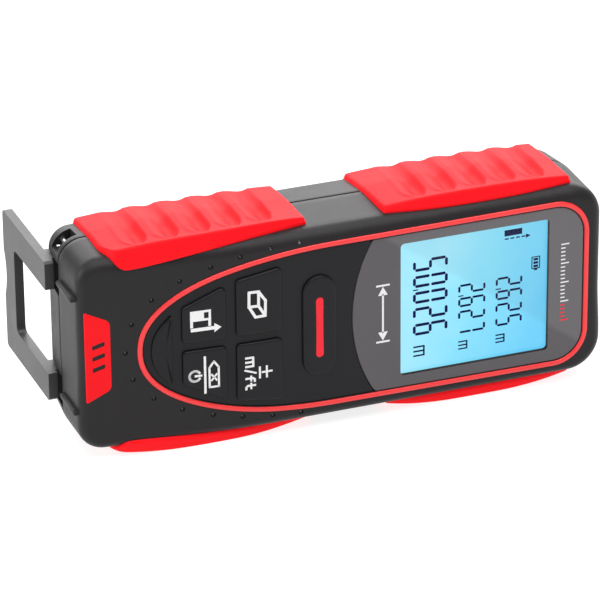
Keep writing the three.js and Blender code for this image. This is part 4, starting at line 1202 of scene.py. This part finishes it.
for side in (1, -1):
    z0, z1 = sorted((side * ARM_INNER, side * ARM_OUTER))
    knuckles.append(bar_across(HINGE_X, HINGE_Y, KNUCKLE_RADIUS, z0, z1))
    knuckles.append(side_plate(
        box_corners(HINGE_Y - KNUCKLE_RADIUS, HINGE_Y + KNUCKLE_RADIUS, z0, z1), 0.1,
        BRACKET_FACE + 1, HINGE_X))
boolean_cut(end_bracket, knuckles, "UNION")
boolean_cut(end_bracket, [bar_across(HINGE_X, HINGE_Y, PIN_BORE, -20, 20)])
soften_edges(end_bracket, 0.22)
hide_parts("end_bracket")
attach(end_bracket, "bracket")


# ------------------------------------------------------------------------------------
# Steel: the ground hinge pin, the strap bar in its corner eyelet, the four case screws
# and the plated battery contacts.

def steel_material(name, colour, roughness, direction):
    """Bare steel with fine drawing lines along one axis."""
    material = surface_material(name, colour, roughness, metallic=1.0,
                                grain=2500, bump=0.02, dust=0.03, scuff=0.4)
    tree = material.node_tree
    place = add_node(tree, "ShaderNodeTexCoord")
    mapping = add_node(tree, "ShaderNodeMapping")
    mapping.inputs["Scale"].default_value = direction
    lines = add_node(tree, "ShaderNodeTexNoise", Scale=1.0, Detail=2.0)
    wire(tree, place.outputs["Object"], mapping.inputs["Vector"])
    wire(tree, mapping.outputs[0], lines.inputs["Vector"])
    ridge = add_node(tree, "ShaderNodeBump", Strength=0.12)
    ridge.inputs["Distance"].default_value = 0.0001
    wire(tree, lines.outputs["Fac"], ridge.inputs["Height"])
    wire(tree, ridge.outputs[0], tree.nodes["Principled BSDF"].inputs["Normal"])
    return material


def turned(axis, centre, profile, material, name, count=48, sharp=35.0):
    """A turned piece: each (along, radius) of the profile is a circle about the axis."""
    turn = np.linspace(0, 2 * np.pi, count, endpoint=False)
    order = {"x": (0, 1, 2), "y": (1, 2, 0), "z": (2, 0, 1)}[axis]
    rows = np.zeros((len(profile), count, 3))
    for row, (along, radius) in enumerate(profile):
        rows[row, :, order[0]] = along
        rows[row, :, order[1]] = centre[0] + radius * np.cos(turn)
        rows[row, :, order[2]] = centre[1] + radius * np.sin(turn)
    return ring_skin(name, rows, material, sharp=sharp)


pin_steel = steel_material("ground_steel", (0.60, 0.60, 0.61, 1), 0.28, (3000, 3000, 200))
hinge_pin = turned("z", (HINGE_X, HINGE_Y), [(-18.2, 0.8), (-18.0, 1.0), (18.0, 1.0), (18.2, 0.8)],
                   pin_steel, "bracket_hinge_pin")
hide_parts("hinge_pin")
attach(hinge_pin, "meter")

strap_bar = turned("y", (EYELET[1], EYELET[0]), [(15.8, 0.5), (15.9, 0.6), (22.2, 0.6), (22.3, 0.5)],
                   pin_steel, "strap_eyelet_bar")
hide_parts("strap_bar")
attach(strap_bar, "meter")

screw_steel = steel_material("blackened_steel", (0.20, 0.20, 0.21, 1), 0.38, (2000, 200, 2000))
top = THICKNESS - 2.3
for number, (x, z) in enumerate(SCREW_PLACES, 1):
    shank = [(8.0, 0.3), (8.6, 1.05), (top - 1.1, 1.05)]
    head = [(top - 1.0, 1.7), (top - 0.25, 1.9), (top - 0.06, 1.75), (top, 1.45)]
    screw = turned("y", (z, x), shank + head, screw_steel, f"case_screw_{number}_body")
    boolean_cut(screw, [slab(x - along, x + along, z - across, z + across, top - 0.6, top + 1, 0.1)
                        for along, across in ((1.15, 0.26), (0.26, 1.15))])
    screw.data.set_sharp_from_angle(angle=math.radians(30))
    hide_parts(f"case_screw_{number}")
    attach(screw, "meter")

contact_steel = steel_material("nickel_plate", (0.62, 0.60, 0.55, 1), 0.25, (400, 400, 400))
CELL_Y, CELL_Z = 17.6, 5.9


def coil(name, x0, x1, z_middle, material):
    """A round wire carried along a cone-shaped helix of three turns."""
    t = np.linspace(0, 1, 120)
    turn = 6 * np.pi * t
    radius = 3.4 - 1.6 * t
    path = np.stack([x0 + (x1 - x0) * t, CELL_Y + radius * np.cos(turn),
                     z_middle + radius * np.sin(turn)], 1)
    tangent = np.gradient(path, axis=0)
    tangent /= np.linalg.norm(tangent, axis=1, keepdims=True)
    outward = np.stack([np.zeros(120), np.cos(turn), np.sin(turn)], 1)
    outward -= tangent * np.sum(outward * tangent, 1, keepdims=True)
    outward /= np.linalg.norm(outward, axis=1, keepdims=True)
    sideways = np.cross(tangent, outward)
    round_wire = np.linspace(0, 2 * np.pi, 12, endpoint=False)
    rows = path[:, None] + 0.25 * (np.cos(round_wire)[None, :, None] * outward[:, None]
                                   + np.sin(round_wire)[None, :, None] * sideways[:, None])
    return ring_skin(name, rows, material, sharp=60)


for level, side in (("upper", 1), ("lower", -1)):
    sprung = BAY_LEFT + 1 if side > 0 else BAY_RIGHT - 1
    spring = coil(f"contact_coil_{level}", sprung + side * 0.5, sprung + side * 2.1,
                  side * CELL_Z, contact_steel)
    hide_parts(f"contact_spring_{level}")
    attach(spring, "meter")


# ------------------------------------------------------------------------------------
# AAA cells: drawn steel cans in a printed jacket, with a bright positive nub. The
# jacket is plain grey with a copper-coloured band at the positive end.

CELL_RADIUS, CELL_LENGTH = 5.15, 44.5


def jacket_material(name, band_from, towards):
    """Grey jacket with a copper-coloured band beyond one place along the meter."""
    material = surface_material(name, (0.10, 0.105, 0.11, 1), 0.32, grain=2500, bump=0.03, dust=0.04,
                                scuff=0.5, coat=0.3)
    tree = material.node_tree
    place = add_node(tree, "ShaderNodeTexCoord")
    split = add_node(tree, "ShaderNodeSeparateXYZ")
    wire(tree, place.outputs["Object"], split.inputs[0])
    step = add_node(tree, "ShaderNodeMapRange", clamp=True)
    start = (band_from + MIDDLE[0]) * MM
    step.inputs["From Min"].default_value = start
    step.inputs["From Max"].default_value = start + towards * 0.0001
    wire(tree, split.outputs["X"], step.inputs["Value"])
    band = add_node(tree, "ShaderNodeMix", data_type="RGBA")
    band.inputs["B"].default_value = (0.42, 0.17, 0.05, 1)
    shader = tree.nodes["Principled BSDF"]
    wire(tree, shader.inputs["Base Color"].links[0].from_socket, band.inputs["A"])
    wire(tree, step.outputs[0], band.inputs["Factor"])
    wire(tree, band.outputs["Result"], shader.inputs["Base Color"])
    return material


for level, side in (("upper", 1), ("lower", -1)):
    middle = (BAY_LEFT + BAY_RIGHT) / 2 + 0.85 * side
    half = CELL_LENGTH / 2
    can = [(-half, 3.9), (0.05 - half, 4.6), (0.45 - half, 5.05), (1.05 - half, CELL_RADIUS),
           (half - 2.05, CELL_RADIUS), (half - 1.55, 5.0), (half - 1.3, 4.5)]
    nub = [(half - 1.25, 1.95), (half - 1.15, 1.8), (half - 0.15, 1.8), (half, 1.5)]
    profile = [(middle + side * along, radius) for along, radius in can + nub]
    jacket = jacket_material(f"cell_jacket_{level}", middle + side * 10.5, side)
    cell = turned("x", (CELL_Y, side * CELL_Z), profile, jacket, f"cell_{level}_can", count=72)
    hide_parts(f"cell_{level}")
    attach(cell, "meter")


# ------------------------------------------------------------------------------------
# Battery cover: a thin ABS lid, flush with the back. Hooks hold its laser-side edge,
# and the snap at its other edge is released with a thumb recess with five ribs.

LID_THICK, LID_ROUND, LID_LIP = 1.6, 0.3, 0.8
lid_ring = even_ring(round_corners(box_corners(
    BAY_LEFT - LID_LIP, BAY_RIGHT + LID_LIP, -BAY_HALF - LID_LIP, BAY_HALF + LID_LIP), 1.3, 12), 240)
lid_normal = ring_normals(lid_ring)
lid_rows = [at_depth(lid_ring, THICKNESS - LID_THICK)]
for turn in np.linspace(0, np.pi / 2, 6):
    lid_rows.append(at_depth(lid_ring - lid_normal * LID_ROUND * (1 - math.cos(turn)),
                             THICKNESS - LID_ROUND + LID_ROUND * math.sin(turn)))
battery_cover = ring_skin("battery_lid", lid_rows, charcoal, sharp=50)
thumb_recess = slab(BAY_LEFT + 2.0, BAY_LEFT + 8.0, -6.5, 6.5, THICKNESS - 0.6, THICKNESS + 1, 1.8)
boolean_cut(battery_cover, [thumb_recess])
boolean_cut(battery_cover, [slab(BAY_LEFT + 2.9 + 1.05 * step, BAY_LEFT + 3.4 + 1.05 * step, -5, 5,
                                 THICKNESS - 1.0, THICKNESS - 0.2, 0.2) for step in range(5)], "UNION")
soften_edges(battery_cover, 0.08, 2, 50)
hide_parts("battery_cover")
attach(battery_cover, "battery_door")


# ------------------------------------------------------------------------------------
# Laser end: a glossy black plate with two round openings, over the receiver's convex
# glass lens and the small flat window that the laser leaves through.

OPTICS_DEPTH, RECEIVER_Z, LASER_Z = 17.4, 4.6, -9.4
PLATE_BACK, PLATE_FRONT = LASER_END - 1.8, LASER_END - 0.2
LENS_SEAT, LENS_RADIUS, LENS_BULGE = LASER_END - 1.7, 5.0, 1.2

plate_black = surface_material("gloss_black_plate", (0.010, 0.010, 0.011, 1), 0.14, (0.012, 0.012, 0.014, 1),
                               grain=3000, bump=0.01, dust=0.06, coat=0.5)
plate_ring = even_ring(round_corners(box_corners(-14.85, 12.65, 10.55, 23.45), 1.1, 10), 160)
plate_rows = []
for x, inset in ((PLATE_BACK, 0), (PLATE_FRONT - 0.25, 0), (PLATE_FRONT - 0.07, 0.07), (PLATE_FRONT, 0.25)):
    ring = plate_ring - ring_normals(plate_ring) * inset
    plate_rows.append(np.stack([np.full(160, x), ring[:, 1], ring[:, 0]], 1))
end_plate = ring_skin("optics_end_plate", plate_rows, plate_black, sharp=50)
boolean_cut(end_plate, [
    turned("x", (OPTICS_DEPTH, z), [(LASER_END - 3, bore), (LASER_END - flare, bore), (LASER_END + 1, mouth)],
           plate_black, "cutter", 96)
    for z, bore, flare, mouth in ((RECEIVER_Z, 5.25, 0.7, 6.6), (LASER_Z, 2.35, 0.9, 4.1))])
end_plate.data.set_sharp_from_angle(angle=math.radians(30))
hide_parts("end_plate")
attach(end_plate, "meter")


def coated_glass(name, tint):
    """Clear optical glass with a faint coloured coat and a little dust on it."""
    material = surface_material(name, tint, 0.04, tuple(c * 0.8 for c in tint[:3]) + (1,),
                                bump=0.0, dust=0.04, coat=1.0, vary=0.01, scuff=0.05)
    shader = material.node_tree.nodes["Principled BSDF"]
    shader.inputs["Transmission Weight"].default_value = 0.75
    shader.inputs["IOR"].default_value = 1.5
    return material


dome = [(LENS_SEAT - 0.9, LENS_RADIUS - 0.1), (LENS_SEAT - 0.8, LENS_RADIUS), (LENS_SEAT, LENS_RADIUS)]
dome += [(LENS_SEAT + LENS_BULGE * math.sin(t), LENS_RADIUS * math.cos(t) ** 0.9)
         for t in np.linspace(0.1, 1.5, 14)]
receiver_glass = coated_glass("receiver_glass", (0.30, 0.22, 0.42, 1))
receiver_lens = turned("x", (OPTICS_DEPTH, RECEIVER_Z), dome, receiver_glass, "receiver_lens_glass", 96, 50)
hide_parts("receiver_lens")
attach(receiver_lens, "meter")

pane = [(LASER_END - 1.6, 2.1), (LASER_END - 0.65, 2.1), (LASER_END - 0.5, 1.9)]
laser_glass = coated_glass("laser_glass", (0.45, 0.16, 0.16, 1))
laser_window = turned("x", (OPTICS_DEPTH, LASER_Z), pane, laser_glass, "laser_window_glass", 64)
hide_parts("laser_window")
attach(laser_window, "meter")


# ------------------------------------------------------------------------------------
# Inside: the pieces the housing hides. The board is glass-epoxy with tracks under its
# green mask; the optics sit in a cast chassis; the battery tray is smooth black ABS.

def board_material():
    """Green mask over tracks: a brick pattern whose joints are the lighter tracks."""
    material = surface_material("solder_mask", (0.008, 0.085, 0.028, 1), 0.3, (0.012, 0.13, 0.04, 1),
                                grain=4000, bump=0.05, dust=0.05, coat=0.3)
    tree = material.node_tree
    place = add_node(tree, "ShaderNodeTexCoord")
    mapping = add_node(tree, "ShaderNodeMapping")
    mapping.inputs["Rotation"].default_value = (math.pi / 2, 0, 0)
    tracks = add_node(tree, "ShaderNodeTexBrick", Scale=260.0)
    tracks.inputs["Mortar Size"].default_value = 0.06
    wire(tree, place.outputs["Object"], mapping.inputs["Vector"])
    wire(tree, mapping.outputs[0], tracks.inputs["Vector"])
    lines = add_node(tree, "ShaderNodeMix", data_type="RGBA")
    lines.inputs["B"].default_value = (0.02, 0.19, 0.06, 1)
    shader = tree.nodes["Principled BSDF"]
    wire(tree, shader.inputs["Base Color"].links[0].from_socket, lines.inputs["A"])
    wire(tree, tracks.outputs["Fac"], lines.inputs["Factor"])
    wire(tree, lines.outputs["Result"], shader.inputs["Base Color"])
    return material


solder_mask = board_material()
tray_abs = surface_material("tray_black_abs", (0.02, 0.02, 0.021, 1), 0.35, bump=0.05, dust=0.1)
cast_zinc = surface_material("cast_zinc", (0.36, 0.37, 0.38, 1), 0.45, metallic=1.0,
                             grain=2600, bump=0.25, dust=0.1)
brass = steel_material("turned_brass", (0.62, 0.38, 0.11, 1), 0.3, (2500, 200, 200))
epoxy = surface_material("moulded_epoxy", (0.012, 0.012, 0.013, 1), 0.55, grain=6500, bump=0.2)
diffuser = surface_material("opal_diffuser", (0.78, 0.84, 0.9, 1), 0.4, bump=0.05, dust=0.02)
amber_film = surface_material("amber_film", (0.42, 0.15, 0.02, 1), 0.3, bump=0.03, coat=0.4)

INSIDE = {
    "display_backlight": diffuser, "display_ribbon": amber_film, "main_board": solder_mask,
    "detector_board": solder_mask, "processor": epoxy, "buzzer": epoxy, "battery_tray": tray_abs,
    "optics_chassis": cast_zinc, "laser_module": brass, "detector_can": contact_steel,
    "contact_plate_upper": contact_steel, "contact_plate_lower": contact_steel,
}
INSIDE.update({f"dome_{name}": contact_steel for name in (*KEY_OUTLINES, "measure")})
for node, material in INSIDE.items():
    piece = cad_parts[node]
    piece.data.materials.clear()
    piece.data.materials.append(material)


# ------------------------------------------------------------------------------------
# The studio: a camera with a long lens, three softboxes, an even pale surround and a
# plain pale floor that the meter's lower grips stand on.

def studio_camera():
    """A long lens in front and to the hook side, looking a little down."""
    yaw, pitch, roll = (math.radians(a) for a in (20.72, 25.54, -0.55))
    forward = np.array([math.sin(yaw) * math.cos(pitch), math.cos(yaw) * math.cos(pitch), -math.sin(pitch)])
    level = np.array([math.cos(yaw), -math.sin(yaw), 0])
    upward = np.cross(level, forward)
    right = math.cos(roll) * level + math.sin(roll) * upward
    up = math.cos(roll) * upward - math.sin(roll) * level
    place = (np.array([-297.31, -760.18, 394.91]) + MIDDLE) * MM
    data = bpy.data.cameras.new("studio_camera")
    data.lens = 257.3
    data.sensor_width = 36
    data.clip_start = 0.01
    camera = bpy.data.objects.new("studio_camera", data)
    bpy.context.scene.collection.objects.link(camera)
    camera.matrix_world = Matrix((
        (right[0], up[0], -forward[0], place[0]),
        (right[1], up[1], -forward[1], place[1]),
        (right[2], up[2], -forward[2], place[2]),
        (0, 0, 0, 1)))
    bpy.context.scene.camera = camera


def soft_light(name, place, target, size, power):
    """A rectangular area light that faces a point."""
    data = bpy.data.lights.new(name, "AREA")
    data.shape = "RECTANGLE"
    data.size, data.size_y = size
    data.energy = power
    light = bpy.data.objects.new(name, data)
    light.location = place
    aim = Vector(target) - Vector(place)
    light.rotation_euler = aim.to_track_quat("-Z", "Y").to_euler()
    bpy.context.scene.collection.objects.link(light)


studio_camera()
soft_light("overhead_softbox", (0.02, -0.16, 0.75), (0, 0, 0.03), (0.9, 0.8), 7.5)
soft_light("rear_softbox", (0.30, 0.80, 0.50), (0, 0, 0.04), (1.6, 0.7), 14.0)
soft_light("hook_side_softbox", (-0.80, 0.10, 0.30), (0, 0, 0.03), (0.5, 0.5), 4.5)

world = bpy.data.worlds.new("studio_world")
world.use_nodes = True
surround = world.node_tree.nodes["Background"]
surround.inputs["Color"].default_value = (1, 1, 1, 1)
surround.inputs["Strength"].default_value = 0.45
bpy.context.scene.world = world
bpy.context.scene.view_settings.view_transform = "Standard"

floor_material = surface_material("pale_floor", (0.30, 0.30, 0.30, 1), 0.8, (0.31, 0.31, 0.31, 1),
                                  bump=0.0, dust=0.0, scuff=0.0, gloss=0.0)
floor_shader = floor_material.node_tree.nodes["Principled BSDF"]
floor_shader.inputs["Emission Color"].default_value = (1, 1, 1, 1)
floor_shader.inputs["Emission Strength"].default_value = 0.82
FLOOR_HALF = 3
floor_corners = [(x, y, 0) for x, y in box_corners(-FLOOR_HALF, FLOOR_HALF, -FLOOR_HALF, FLOOR_HALF)]
floor_mesh = bpy.data.meshes.new("floor")
floor_mesh.from_pydata(floor_corners, [], [(0, 1, 2, 3)])
floor_mesh.materials.append(floor_material)
floor = bpy.data.objects.new("floor", floor_mesh)
bpy.context.scene.collection.objects.link(floor)
